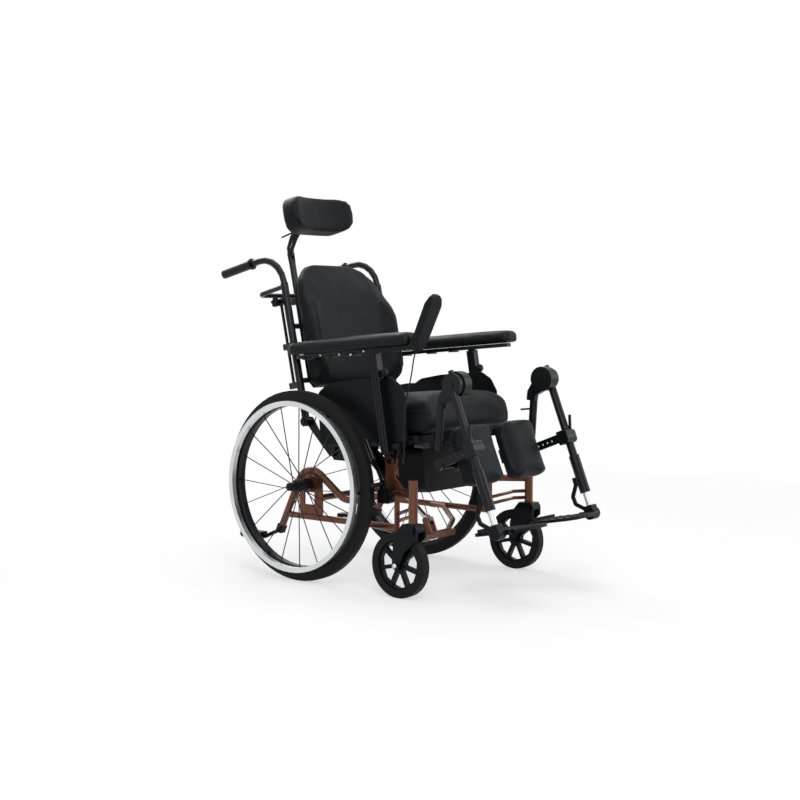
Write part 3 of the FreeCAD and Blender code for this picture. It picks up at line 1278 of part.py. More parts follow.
def foot_tube():
    """The bright inner tube with the foot hinge block and its cranked guide bar."""
    join = FOOT_S - FOOT_R - 6
    tube = sided_rod((LEG_X, *down(300)), (LEG_X, *down(join)), INNER_R, 12)
    hub = sided_cross(SWING_X - 5, SWING_X + 30, down(FOOT_S), FOOT_R, 12)
    saddle = side_plate([down(join, -14), down(join, 16), down(FOOT_S, 18), down(FOOT_S, -18)],
                        SWING_X - 4, SWING_X + 28)
    places = [(330, SLEEVE_R + 8), (354, SLEEVE_R + 9), (384, 50), (412, 48), (444, 8)]
    bars = []
    for (s0, back0), (s1, back1) in zip(places, places[1:]):
        bars.append(bar_between((LEG_X, *down(s0, back0)), (LEG_X, *down(s1 + 2, back1)), 8, 11))
    return [leg_line(tube), leg_line(fused([hub, saddle, *bars]))]


def footplate():
    """A moulded plate that folds up about a fore-and-aft pin at its outer edge."""
    z0, z1 = -FOOTPLATE_T / 2, FOOTPLATE_T / 2
    hinge, inner = FOOTPLATE_X1, FOOTPLATE_X0
    y0, y1 = FOOTPLATE_FRONT, FOOTPLATE_REAR
    outline = [(inner, y0 + 24), (inner + 14, y0 + 6), (inner + 34, y0), (hinge - 22, y0), (hinge - 8, y0 + 14),
               (hinge - 8, -33), (hinge - 24, -33), (hinge - 24, 33), (hinge - 8, 33),
               (hinge - 8, y1 - 22), (hinge - 16, y1 - 6), (hinge - 36, y1), (inner + 34, y1),
               (inner + 8, y1 - 10), (inner, y1 - 26)]
    plate = floor_plate(outline, z0, z1)
    ribs = [block(inner + 22, hinge - 30, y, y + 8, z1 - 1, z1 + 2) for y in (-40, -12, 16, 46, 76)]
    lip = block(inner + 20, hinge - 30, y1 - 14, y1 - 6, z1 - 1, z1 + 9)
    web = block(hinge - 26, hinge + 4, -20, 20, -6, 6)
    body = fused([plate, *ribs, lip, web])
    return footplate_placed(body.cut(rod((hinge - 2, -40, 0), (hinge - 2, 40, 0), 4 + RUN)))


def footplate_placed(shape):
    copy = shape.copy()
    y, z = foot_place()
    copy.rotate(V(0, 0, 0), V(1, 0, 0), -FOOTPLATE_SLOPE)
    copy.translate(V(0, y, z))
    return copy


def foot_place():
    """The foot hinge's (y, z) place with the leg at its angle."""
    angle = math.radians(LEG_ANGLE)
    return (KNEE_Y - FOOT_S * math.sin(angle), KNEE_Z - FOOT_S * math.cos(angle))


def foot_fork():
    """The two lugs and the pin on the foot block that the footplate folds about."""
    hinge = FOOTPLATE_X1
    lugs = [block(hinge - 8, SWING_X - 2, y, y + 8, -8, 8) for y in (-28.5, 20.5)]
    wall = block(hinge + 8, SWING_X - 2, -28.5, 28.5, -8, 8)
    pin = rod((hinge - 2, -26, 0), (hinge - 2, 26, 0), 4)
    return footplate_placed(fused([*lugs, wall, pin]))


def save_all():
    save_pair("rear_wheel", rear_wheel())
    save_pair("rear_tyre", rear_tyre())
    save_pair("handrim", handrim())
    save_pair("side_frame", side_frame())
    save("front_rail", *front_rail())
    housings = [axle_housing(), rear_axle()]
    save("axle_housings", *housings, *[mirrored(s) for s in housings])
    save("tipping_steps", tipping_step(), mirrored(tipping_step()))
    save("brake_mounts", brake_mount(), mirrored(brake_mount()))
    save_pair("brake_lever", brake_lever())
    save_pair("caster_tyre", caster_tyre())
    save_pair("caster_wheel", caster_wheel())
    save_pair("caster_fork", caster_fork())
    save("seat_frame", seat_frame())
    save("seat_cushion", seat_cushion())
    save("side_panels", side_panel(), mirrored(side_panel()))
    save("battery_box", battery_box())
    save("control_box", control_box())
    save("tilt_actuator", tilt_actuator())
    save("tilt_rod", tilt_rod())
    save("recline_strut", recline_strut())
    save("recline_rod", recline_rod())
    save("back_frame", back_frame())
    save_pair("star_knob", star_knob())
    save("back_shell", back_shell())
    save("back_cushion", back_cushion())
    save_pair("push_handle", push_handle())
    save("headrest_pole", headrest_pole())
    save("headrest_link", headrest_link())
    save("headrest_plate", headrest_plate())
    save("headrest_pad", headrest_pad())
    left_arm = arm_frame()
    save("arm_frame_left", left_arm)
    save("arm_frame_right", fused([mirrored(left_arm), *handset_holder()]))
    save_pair("arm_pad", arm_pad())
    save("handset", handset_case())
    save("handset_keys", *handset_keys())
    save("handset_cord", cord(CORD_TOP_ROUTE, "cord"), cord(CORD_LOW_ROUTE, "cord lead"))
    save("curly_cord", curly_cord())
    save_pair("leg_hanger", leg_hanger())
    save_pair("leg_tube", leg_tube())
    save_pair("calf_pad", calf_pad(), calf_carrier())
    tube, block_and_guide = foot_tube()
    save_pair("foot_tube", tube, block_and_guide.fuse(foot_fork()))
    save_pair("footplate", footplate())


save_all()
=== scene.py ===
# %% [markdown]
# This lesson dresses a tilt in space wheelchair. The solid model of the chair is loaded first, as a
# fixed frame: every piece made here sits on it, and rides on one of its moving bodies.

# %% Load the frame
import json
import math

import bmesh
import bpy
import numpy as np
from mathutils import Matrix, Vector
from mathutils.bvhtree import BVHTree


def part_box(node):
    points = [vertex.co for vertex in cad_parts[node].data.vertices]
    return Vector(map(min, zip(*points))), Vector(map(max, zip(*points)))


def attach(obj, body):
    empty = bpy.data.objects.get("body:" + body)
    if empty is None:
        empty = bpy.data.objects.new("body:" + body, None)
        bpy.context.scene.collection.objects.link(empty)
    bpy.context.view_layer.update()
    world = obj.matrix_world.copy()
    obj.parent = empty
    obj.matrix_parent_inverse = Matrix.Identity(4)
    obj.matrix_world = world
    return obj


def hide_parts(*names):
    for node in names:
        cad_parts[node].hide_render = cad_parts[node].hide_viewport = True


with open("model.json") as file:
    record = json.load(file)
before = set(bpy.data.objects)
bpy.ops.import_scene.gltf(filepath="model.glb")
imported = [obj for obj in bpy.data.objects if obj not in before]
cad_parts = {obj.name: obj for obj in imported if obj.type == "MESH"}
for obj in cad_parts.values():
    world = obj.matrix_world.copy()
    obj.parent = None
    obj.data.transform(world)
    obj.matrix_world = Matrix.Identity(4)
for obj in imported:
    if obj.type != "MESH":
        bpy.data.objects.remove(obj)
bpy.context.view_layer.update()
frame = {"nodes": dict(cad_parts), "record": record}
nodes = frame["nodes"]
body_of = {node: body for body, members in frame["record"]["behaviour"]["bodies"].items() for node in members}
print("pieces in the frame:", len(nodes))

# %% [markdown]
# The photograph was taken from the chair's front right, a little above the seat, with a medium long
# lens. The camera is placed from its own right and forward directions, so no target is needed.

# %% Camera
CAMERA_PLACE = Vector((-3.439, -2.769, 0.853))
CAMERA_RIGHT = Vector((0.631, -0.776, 0.0)).normalized()
CAMERA_FORWARD = Vector((0.775, 0.629, -0.063)).normalized()
CAMERA_LENS = 60.9
SENSOR_WIDTH = 36

lens = bpy.data.cameras.new("camera")
lens.lens = CAMERA_LENS
lens.sensor_width = SENSOR_WIDTH
camera = bpy.data.objects.new("camera", lens)
bpy.context.scene.collection.objects.link(camera)
camera_up = CAMERA_RIGHT.cross(CAMERA_FORWARD)
turn = Matrix((CAMERA_RIGHT, camera_up, -CAMERA_FORWARD)).transposed()
camera.matrix_world = Matrix.Translation(CAMERA_PLACE) @ turn.to_4x4()
bpy.context.scene.camera = camera
print("camera stands", round(CAMERA_PLACE.length, 2), "m from the chair's middle")

# %% [markdown]
# The handset hangs on a thin lead with one curly stretch. A lead is a smooth line, so it is one NURBS
# spline through a few given points. The curly stretch is more points of the same spline, set round
# a helix, twelve to each turn. Its ends wind in from the straight runs, as a moulded curl does.

# %% Handset lead
LEAD_WIDTH = 0.0044
LEAD_TOP = [(-0.270, -0.2558, 0.7435), (-0.270, -0.247, 0.725), (-0.264, -0.237, 0.690),
            (-0.256, -0.222, 0.650), (-0.250, -0.206, 0.606), (-0.250, -0.194, 0.564),
            (-0.250, -0.194, 0.524)]
LEAD_LOW = [(-0.250, -0.194, 0.446), (-0.250, -0.194, 0.420), (-0.236, -0.178, 0.400),
            (-0.205, -0.158, 0.396), (-0.168, -0.138, 0.408), (-0.148, -0.128, 0.418),
            (-0.125, -0.128, 0.418)]
LEAD_SMOOTHNESS = 4
CURL_RADIUS = 0.0032
CURL_TURNS = 14
CURL_STEPS = 12


def curl_points(start, end):
    """Points of a helix from start down to end, wound in to its axis at both ends."""
    count = CURL_TURNS * CURL_STEPS
    points = []
    for i in range(1, count):
        share = i / count
        ramp = min(1.0, i / CURL_STEPS, (count - i) / CURL_STEPS)
        angle = 2 * math.pi * i / CURL_STEPS
        side = Vector((math.cos(angle), math.sin(angle), 0)) * CURL_RADIUS * ramp
        points.append(Vector(start).lerp(Vector(end), share) + side)
    return points


def spline_piece(name, points, width, resolution):
    """A smooth tube along one open NURBS spline. Its width is in the points, so its box is its own."""
    curve = bpy.data.curves.new(name, "CURVE")
    curve.dimensions = "3D"
    curve.bevel_depth = 1.0
    curve.bevel_resolution = 3
    curve.use_fill_caps = True
    curve.resolution_u = resolution
    spline = curve.splines.new("NURBS")
    spline.points.add(len(points) - 1)
    for held, place in zip(spline.points, points):
        held.co = (*place, 1)
        held.radius = width / 2
    spline.order_u = 3
    spline.use_endpoint_u = True
    piece = bpy.data.objects.new(name, curve)
    bpy.context.scene.collection.objects.link(piece)
    return piece


lead_points = [*LEAD_TOP, *curl_points(LEAD_TOP[-1], LEAD_LOW[0]), *LEAD_LOW]
lead = spline_piece("handset_lead", lead_points, LEAD_WIDTH, LEAD_SMOOTHNESS)
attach(lead, "seat")
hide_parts("handset_cord", "curly_cord")
print("lead points:", len(lead.data.splines[0].points))

# %% [markdown]
# Many finishes need the same few effects, so each effect is a small node group with named inputs: a
# moulded grain, a knitted weave, fine scuffs and settled dust. The groups give out only masks and
# heights, and the shader itself stays in the material, where its values can be read.

# %% Group helper
def effect_group(name, inputs, outputs):
    """An empty shader group with float inputs, given as (name, value), and float outputs."""
    tree = bpy.data.node_groups.new(name, "ShaderNodeTree")
    for label, value in inputs:
        socket = tree.interface.new_socket(label, in_out="INPUT", socket_type="NodeSocketFloat")
        socket.default_value = value
    for label in outputs:
        tree.interface.new_socket(label, in_out="OUTPUT", socket_type="NodeSocketFloat")
    return tree, tree.nodes.new("NodeGroupInput"), tree.nodes.new("NodeGroupOutput")


def math_node(tree, operation, first, second=None, clamp=False):
    """A math node whose two inputs are sockets or plain numbers; gives its output socket."""
    node = tree.nodes.new("ShaderNodeMath")
    node.operation = operation
    node.use_clamp = clamp
    for index, value in enumerate((first, second)):
        if isinstance(value, (int, float)):
            node.inputs[index].default_value = value
        elif value is not None:
            tree.links.new(value, node.inputs[index])
    return node.outputs[0]


def object_place(tree):
    """The socket that gives a point's place on its own object, in metres."""
    return tree.nodes.new("ShaderNodeTexCoord").outputs["Object"]


def stretched_place(tree, stretch):
    """The place on the object, scaled along its axes, for a texture with streaks."""
    node = tree.nodes.new("ShaderNodeMapping")
    node.inputs["Scale"].default_value = stretch
    tree.links.new(object_place(tree), node.inputs["Vector"])
    return node.outputs[0]


def noise(tree, scale, detail=2.0, vector=None):
    """A noise texture's value over the object; scale is a number or a socket."""
    node = tree.nodes.new("ShaderNodeTexNoise")
    node.inputs["Detail"].default_value = detail
    if isinstance(scale, (int, float)):
        node.inputs["Scale"].default_value = scale
    else:
        tree.links.new(scale, node.inputs["Scale"])
    tree.links.new(vector or object_place(tree), node.inputs["Vector"])
    return node.outputs["Fac"]


print("helpers for node groups are ready")

# %% [markdown]
# Moulded plastic is sprayed or etched in the mould, which leaves a fine pebbled grain. A cell texture
# gives the pebbles and a slow noise breaks up their height, so no part looks printed.

# %% Moulded grain
grain_group, grain_in, grain_out = effect_group("moulded_grain", [("Scale", 900.0)], ["Height", "Blotch"])
cells = grain_group.nodes.new("ShaderNodeTexVoronoi")
grain_group.links.new(grain_in.outputs["Scale"], cells.inputs["Scale"])
grain_group.links.new(object_place(grain_group), cells.inputs["Vector"])
slow = noise(grain_group, 30.0, 3.0)
pebbles = math_node(grain_group, "MULTIPLY", cells.outputs["Distance"], slow)
grain_group.links.new(pebbles, grain_out.inputs["Height"])
grain_group.links.new(slow, grain_out.inputs["Blotch"])
print("group made:", grain_group.name)

# %% [markdown]
# The covers are a stretch knit. Rows of stitches are two crossed sine waves, and which two directions
# they run in depends on the way the cloth faces, so the knit lies in the cloth on every side.

# %% Knitted weave
knit_group, knit_in, knit_out = effect_group("stretch_knit", [("Scale", 2400.0)], ["Height"])
split_place = knit_group.nodes.new("ShaderNodeSeparateXYZ")
split_facing = knit_group.nodes.new("ShaderNodeSeparateXYZ")
knit_coords = knit_group.nodes.new("ShaderNodeTexCoord")
knit_group.links.new(knit_coords.outputs["Object"], split_place.inputs[0])
knit_group.links.new(knit_coords.outputs["Normal"], split_facing.inputs[0])
waves = []
for along in split_place.outputs:
    phase = math_node(knit_group, "MULTIPLY", along, knit_in.outputs["Scale"])
    waves.append(math_node(knit_group, "SINE", phase))
rows = []
for across, first, second in ((0, 1, 2), (1, 0, 2), (2, 0, 1)):
    crossed = math_node(knit_group, "MULTIPLY", waves[first], waves[second])
    facing = math_node(knit_group, "ABSOLUTE", split_facing.outputs[across])
    rows.append(math_node(knit_group, "MULTIPLY", crossed, facing))
knit_sum = math_node(knit_group, "ADD", math_node(knit_group, "ADD", rows[0], rows[1]), rows[2])
knit_group.links.new(math_node(knit_group, "MULTIPLY_ADD", knit_sum, 0.5), knit_out.inputs["Height"])
print("group made:", knit_group.name)

# %% [markdown]
# A chair that is pushed, gripped and folded picks up faint scuffs, and dust settles on what faces up.
# Scuffs are a stretched noise cut off near its top. Dust is a soft noise times how far a face looks up.

# %% Scuffs and dust
SCUFF_CUT = 0.58
SCUFF_EDGE = 6.0

scuff_group, scuff_in, scuff_out = effect_group("fine_scuffs", [("Scale", 60.0), ("Amount", 0.3)], ["Mask"])
streaks = noise(scuff_group, scuff_in.outputs["Scale"], 6.0, stretched_place(scuff_group, (1.0, 1.0, 7.0)))
above = math_node(scuff_group, "SUBTRACT", streaks, SCUFF_CUT)
sharp = math_node(scuff_group, "MULTIPLY", above, SCUFF_EDGE, clamp=True)
scuff_mask = math_node(scuff_group, "MULTIPLY", sharp, scuff_in.outputs["Amount"])
scuff_group.links.new(scuff_mask, scuff_out.inputs["Mask"])

dust_group, dust_in, dust_out = effect_group("settled_dust", [("Amount", 0.1)], ["Mask"])
facing_up = dust_group.nodes.new("ShaderNodeSeparateXYZ")
dust_coords = dust_group.nodes.new("ShaderNodeTexCoord")
dust_group.links.new(dust_coords.outputs["Normal"], facing_up.inputs[0])
upward = math_node(dust_group, "MAXIMUM", facing_up.outputs[2], 0.0)
speckle = math_node(dust_group, "MULTIPLY", upward, noise(dust_group, 45.0, 4.0))
dust_mask = math_node(dust_group, "MULTIPLY", speckle, dust_in.outputs["Amount"])
dust_group.links.new(dust_mask, dust_out.inputs["Mask"])
print("groups made:", scuff_group.name, dust_group.name)

# %% [markdown]
# Every finish starts from one recipe: a Principled shader, its colour mixed from a base and a paler
# worn colour by the scuffs and the dust, and a bump from the grain or the knit. Values that are the
# same all over stay on the shader's own sockets.

# %% Finish recipe
DUST_COLOUR = (0.42, 0.41, 0.39)
SCUFF_SCALE = 60.0


def placed(tree, group, **values):
    """One of the effect groups in a material, with its own values."""
    node = tree.nodes.new("ShaderNodeGroup")
    node.node_tree = group
    for label, value in values.items():
        node.inputs[label].default_value = value
    return node


def mixed(tree, factor, first, second):
    """A colour mix of two colours or sockets by a mask."""
    node = tree.nodes.new("ShaderNodeMix")
    node.data_type = "RGBA"
    tree.links.new(factor, node.inputs[0])
    for index, value in ((6, first), (7, second)):
        if isinstance(value, tuple):
            node.inputs[index].default_value = (*value, 1)
        else:
            tree.links.new(value, node.inputs[index])
    return node.outputs[2]


def ranged(tree, value, low, high):
    """A 0 to 1 value spread between low and high."""
    node = tree.nodes.new("ShaderNodeMapRange")
    tree.links.new(value, node.inputs["Value"])
    node.inputs["To Min"].default_value = low
    node.inputs["To Max"].default_value = high
    return node.outputs["Result"]


def bumped(tree, height, strength, distance, base=None):
    """A bump from a height socket, on top of another bump if one is given."""
    node = tree.nodes.new("ShaderNodeBump")
    node.inputs["Strength"].default_value = strength
    node.inputs["Distance"].default_value = distance
    tree.links.new(height, node.inputs["Height"])
    if base is not None:
        tree.links.new(base, node.inputs["Normal"])
    return node.outputs["Normal"]


def finish_base(name, colour, worn, rough, scuffs, dust, **sockets):
    """A material with wear and dust, given as the material, its tree and its shader."""
    material = bpy.data.materials.new(name)
    material.use_nodes = True
    tree = material.node_tree
    shader = tree.nodes["Principled BSDF"]
    scuffed = placed(tree, scuff_group, Scale=SCUFF_SCALE, Amount=scuffs)
    dusty = placed(tree, dust_group, Amount=dust)
    tone = mixed(tree, noise(tree, 9.0, 3.0), colour, tuple(c * 1.25 + 0.001 for c in colour))
    tone = mixed(tree, scuffed.outputs["Mask"], tone, worn)
    tone = mixed(tree, dusty.outputs["Mask"], tone, DUST_COLOUR)
    tree.links.new(tone, shader.inputs["Base Color"])
    tree.links.new(ranged(tree, noise(tree, 24.0, 4.0), rough[0], rough[1]), shader.inputs["Roughness"])
    for label, value in sockets.items():
        shader.inputs[label.replace("_", " ")].default_value = value
    return material, tree, shader


print("the finish recipe is ready")

# %% [markdown]
# The base frame is painted a metallic copper bronze. Flakes in the paint are tiny cells that catch
# the light each in its own tone, under a clear coat. The other tubes are powder coated in black,
# whose skin is faintly dimpled like orange peel.

# %% Painted finishes
bronze, tree, shader = finish_base("copper_bronze_paint", (0.115, 0.042, 0.022), (0.2, 0.1, 0.06),
                                   (0.28, 0.38), 0.12, 0.02,
                                   Metallic=0.8, Coat_Weight=0.2, Coat_Roughness=0.12)
flakes = tree.nodes.new("ShaderNodeTexVoronoi")
flakes.inputs["Scale"].default_value = 2200.0
tree.links.new(object_place(tree), flakes.inputs["Vector"])
tree.links.new(bumped(tree, flakes.outputs["Distance"], 0.08, 0.0004), shader.inputs["Normal"])

black_coat, tree, shader = finish_base("black_powder_coat", (0.003, 0.0033, 0.0045), (0.02, 0.02, 0.023),
                                       (0.24, 0.36), 0.12, 0.008, Specular_IOR_Level=0.2)
tree.links.new(bumped(tree, noise(tree, 420.0, 1.0), 0.12, 0.0006), shader.inputs["Normal"])

rim_black, tree, shader = finish_base("black_anodised_rim", (0.012, 0.0125, 0.014), (0.1, 0.1, 0.11),
                                      (0.26, 0.36), 0.25, 0.02, Metallic=0.4, Specular_IOR_Level=0.3)
tree.links.new(bumped(tree, noise(tree, 700.0, 1.0), 0.05, 0.0003), shader.inputs["Normal"])
print("painted finishes:", bronze.name, black_coat.name, rim_black.name)

# %% [markdown]
# Hand rims and inner leg tubes are bright anodised aluminium. The drawn metal shows fine streaks along
# its length, made from a noise that is stretched hard in one direction.

# %% Bright metal
bright, tree, shader = finish_base("bright_anodised", (0.58, 0.59, 0.61), (0.45, 0.45, 0.46),
                                   (0.22, 0.36), 0.02, 0.0, Metallic=1.0)
drawn = noise(tree, 60.0, 5.0, stretched_place(tree, (40.0, 1.0, 1.0)))
tree.links.new(bumped(tree, drawn, 0.06, 0.0004), shader.inputs["Normal"])
print("metal finish:", bright.name)

# %% [markdown]
# Housings, guards, casters and footplates are moulded in black. The grain is finer on small parts and
# coarser on the big ones, as mould makers do, so the recipe takes its scale as a value.

# %% Moulded finishes
def grained(tree, scale, strength, depth):
    """The moulded grain as a bump."""
    grain = placed(tree, grain_group, Scale=scale)
    return bumped(tree, grain.outputs["Height"], strength, depth)


def moulded(name, colour, worn, rough, grain_scale, depth, scuffs=0.2, dust=0.015, **sockets):
    """A plain moulded finish with a grain of its own scale and depth."""
    material, tree, shader = finish_base(name, colour, worn, rough, scuffs, dust, **sockets)
    tree.links.new(grained(tree, grain_scale, 0.35, depth), shader.inputs["Normal"])
    return material


case_plastic = moulded("black_grained_case", (0.003, 0.0034, 0.0046), (0.015, 0.016, 0.019),
                       (0.32, 0.46), 800.0, 0.0006, Specular_IOR_Level=0.11)
guard_plastic = moulded("black_guard_sheet", (0.003, 0.0035, 0.005), (0.012, 0.013, 0.016),
                        (0.3, 0.42), 600.0, 0.0005, Specular_IOR_Level=0.11)
key_plastic = moulded("grey_key", (0.11, 0.118, 0.135), (0.2, 0.21, 0.22),
                      (0.35, 0.5), 1400.0, 0.0003, 0.1, 0.01)
lead_rubber = moulded("lead_sheath", (0.006, 0.006, 0.007), (0.02, 0.02, 0.022),
                      (0.4, 0.5), 1500.0, 0.0002, 0.1, 0.01, Specular_IOR_Level=0.25)
print("moulded finishes:", case_plastic.name, guard_plastic.name, key_plastic.name, lead_rubber.name)

# %% [markdown]
# A tyre's tread repeats round its wheel, so its blocks come from the angle about the axle. Two tyres
# share one axle line on this chair, and one finish serves both; the casters get their own centre.

# %% Tyres and grips
REAR_AXLE = (0.196, 0.305)
CASTER_AXLE = (-0.227, 0.1)
GROOVE_SHARE = 0.6


def tyre_rubber(name, centre_y, centre_z, blocks, depth):
    """Rubber with a tread whose grooves run across the tyre at even angles."""
    material, tree, shader = finish_base(name, (0.004, 0.004, 0.0046), (0.018, 0.018, 0.018),
                                         (0.5, 0.68), 0.2, 0.015, Specular_IOR_Level=0.14)
    parts = tree.nodes.new("ShaderNodeSeparateXYZ")
    tree.links.new(object_place(tree), parts.inputs[0])
    angle = math_node(tree, "ARCTAN2", math_node(tree, "SUBTRACT", parts.outputs[2], centre_z),
                      math_node(tree, "SUBTRACT", parts.outputs[1], centre_y))
    groove = math_node(tree, "SINE", math_node(tree, "MULTIPLY", angle, float(blocks)))
    cut = bumped(tree, math_node(tree, "GREATER_THAN", groove, GROOVE_SHARE), 0.5, -depth)
    grain = placed(tree, grain_group, Scale=700.0)
    tree.links.new(bumped(tree, grain.outputs["Height"], 0.3, 0.0005, cut), shader.inputs["Normal"])
    return material


rear_rubber = tyre_rubber("rear_tyre_rubber", *REAR_AXLE, 150, 0.0012)
caster_rubber = tyre_rubber("caster_tyre_rubber", *CASTER_AXLE, 60, 0.0004)
grip_rubber = moulded("black_grip_rubber", (0.006, 0.006, 0.007), (0.02, 0.02, 0.021),
                      (0.45, 0.6), 900.0, 0.0006, Specular_IOR_Level=0.25)
print("rubber finishes:", rear_rubber.name, caster_rubber.name, grip_rubber.name)

# %% [markdown]
# The seat, the backrest, the headrest and the calf pads wear a black stretch knit with a soft sheen.
# The armrest pads have a foamed skin instead, with a leather-like grain.

# %% Soft finishes
knit, tree, shader = finish_base("black_stretch_knit", (0.0036, 0.0042, 0.0062), (0.008, 0.009, 0.013),
                                 (0.42, 0.56), 0.2, 0.005,
                                 Sheen_Weight=0.01, Sheen_Roughness=0.4, Specular_IOR_Level=0.12)
stitches = placed(tree, knit_group, Scale=2600.0)
creases = bumped(tree, noise(tree, 16.0, 3.0), 0.25, 0.004)
tree.links.new(bumped(tree, stitches.outputs["Height"], 0.3, 0.0004, creases), shader.inputs["Normal"])

skin, tree, shader = finish_base("black_foamed_skin", (0.0036, 0.0042, 0.006), (0.012, 0.013, 0.017),
                                 (0.34, 0.48), 0.2, 0.008, Specular_IOR_Level=0.13)
tree.links.new(grained(tree, 420.0, 0.4, 0.0008), shader.inputs["Normal"])

seam_thread, tree, shader = finish_base("black_piping", (0.008, 0.009, 0.012), (0.02, 0.02, 0.025),
                                        (0.45, 0.55), 0.1, 0.01, Specular_IOR_Level=0.25)
twist = tree.nodes.new("ShaderNodeTexWave")
twist.inputs["Scale"].default_value = 260.0
tree.links.new(object_place(tree), twist.inputs["Vector"])
tree.links.new(bumped(tree, twist.outputs["Fac"], 0.2, 0.0003), shader.inputs["Normal"])
print("soft finishes:", knit.name, skin.name, seam_thread.name)

# %% [markdown]
# The solid model's tubes have flat sides to stay light. Real tubes are round, so a small geometry
# group welds each piece, shades it smooth and keeps the edges sharp that turn by more than an angle.

# %% Smooth the frame's pieces
SMOOTH_ANGLE = math.radians(50)
WELD_DISTANCE = 0.00002

smoother = bpy.data.node_groups.new("round_shading", "GeometryNodeTree")
smoother.interface.new_socket("Geometry", in_out="INPUT", socket_type="NodeSocketGeometry")
smoother.interface.new_socket("Geometry", in_out="OUTPUT", socket_type="NodeSocketGeometry")
entry = smoother.nodes.new("NodeGroupInput")
leave = smoother.nodes.new("NodeGroupOutput")
plain = smoother.nodes.new("GeometryNodeRemoveAttribute")
plain.inputs["Name"].default_value = "custom_normal"
weld = smoother.nodes.new("GeometryNodeMergeByDistance")
weld.inputs["Distance"].default_value = WELD_DISTANCE
faces = smoother.nodes.new("GeometryNodeSetShadeSmooth")
faces.domain = "FACE"
edges = smoother.nodes.new("GeometryNodeSetShadeSmooth")
edges.domain = "EDGE"
bend = smoother.nodes.new("GeometryNodeInputMeshEdgeAngle")
gentle = smoother.nodes.new("FunctionNodeCompare")
gentle.operation = "LESS_THAN"
gentle.inputs[1].default_value = SMOOTH_ANGLE
for start, end in ((entry.outputs[0], plain.inputs[0]), (plain.outputs[0], weld.inputs["Geometry"]),
                   (weld.outputs[0], faces.inputs["Geometry"]), (faces.outputs[0], edges.inputs["Geometry"]),
                   (bend.outputs["Unsigned Angle"], gentle.inputs[0]),
                   (gentle.outputs[0], edges.inputs["Shade Smooth"]), (edges.outputs[0], leave.inputs[0])):
    smoother.links.new(start, end)


def rounded(piece):
    """The piece with the round shading on it."""
    piece.modifiers.new("round_shading", "NODES").node_group = smoother
    return piece


for node in nodes.values():
    rounded(node)
print("smoothed pieces:", len(nodes))

# %% [markdown]
# Each piece of the frame now gets its finish by name: the painted base, the black tubes, the moulded
# parts, the tyres and the bright metal.

# %% Give the frame its finishes
FINISHES = {
    "side_frame": bronze, "front_rail": bronze, "axle_housings": black_coat, "brake": black_coat,
    "tipping": case_plastic, "rear_wheel": rim_black, "rear_tyre": rear_rubber, "handrim": bright,
    "caster_tyre": caster_rubber, "caster": case_plastic, "seat_frame": black_coat,
    "side_panels": guard_plastic, "battery_box": case_plastic, "control_box": case_plastic,
    "tilt_actuator": case_plastic, "tilt_rod": bright, "recline_strut": black_coat,
    "recline_rod": bright, "back_frame": black_coat, "back_shell": guard_plastic,
    "star_knob": case_plastic, "push_handle": black_coat, "headrest": black_coat,
    "arm_frame": black_coat, "handset_keys": key_plastic, "handset": case_plastic,
    "leg": black_coat, "calf": black_coat, "foot_tube": case_plastic, "footplate": case_plastic,
}


def finish_for(name):
    """The finish whose name is the longest start of the piece's name."""
    starts = [start for start in FINISHES if name.startswith(start)]
    return FINISHES[max(starts, key=len)] if starts else case_plastic


for name, piece in nodes.items():
    if not piece.data.materials:
        piece.data.materials.append(finish_for(name))
    for held in piece.material_slots:
        held.material = finish_for(name)
lead.data.materials.append(lead_rubber)
print("finishes given:", len(nodes) + 1)

# %% [markdown]
# A cushion is foam pulled into a cover, so it is stuffed, not drawn. The solid's shape is welded,
# remeshed in even cells and drawn in a little; then it is simulated as cloth with air pressed into it,
# with the side it rests on held. A cap keeps every point near where the solid was, and a last
# smoothing takes out the small wrinkles.

# %% Stuffing helper
VOXEL = 0.008
FINE_VOXEL = 0.006
PRESSURE = 2.5
CLOTH_FRAMES = 20
CLOTH_QUALITY = 5
SOFTEN_STEPS = 4
SETTLE_STEPS = 10


def box_volume(shape):
    """The volume of a bmesh's box."""
    return np.prod(np.ptp(np.array([v.co for v in shape.verts]), axis=0))


def solid_parts(node):
    """The separate closed shapes of a frame piece, as bmeshes, the largest box first."""
    shape = bmesh.new()
    shape.from_mesh(nodes[node].data)
    bmesh.ops.remove_doubles(shape, verts=shape.verts, dist=WELD_DISTANCE)
    left = set(shape.verts)
    parts = []
    for first in shape.verts:
        if first not in left:
            continue
        left.remove(first)
        group = [first]
        for vert in group:
            for edge in vert.link_edges:
                other = edge.other_vert(vert)
                if other in left:
                    left.remove(other)
                    group.append(other)
        part = bmesh.new()
        copies = {v: part.verts.new(v.co) for v in group}
        for face in shape.faces:
            if face.verts[0] in copies:
                part.faces.new([copies[v] for v in face.verts])
        parts.append(part)
    shape.free()
    return sorted(parts, key=box_volume, reverse=True)


def piece_from(name, shape, material):
    """A linked mesh object from a bmesh."""
    mesh = bpy.data.meshes.new(name)
    shape.to_mesh(mesh)
    mesh.materials.append(material)
    piece = bpy.data.objects.new(name, mesh)
    bpy.context.scene.collection.objects.link(piece)
    return piece


def applied(piece):
    """The piece with its modifiers made real."""
    graph = bpy.context.evaluated_depsgraph_get()
    mesh = bpy.data.meshes.new_from_object(piece.evaluated_get(graph))
    piece.modifiers.clear()
    piece.data = mesh
    return piece


def smoothed(piece, steps):
    """The piece with its surface evened out."""
    even = piece.modifiers.new("even", "SMOOTH")
    even.factor = 0.5
    even.iterations = steps
    return applied(piece)


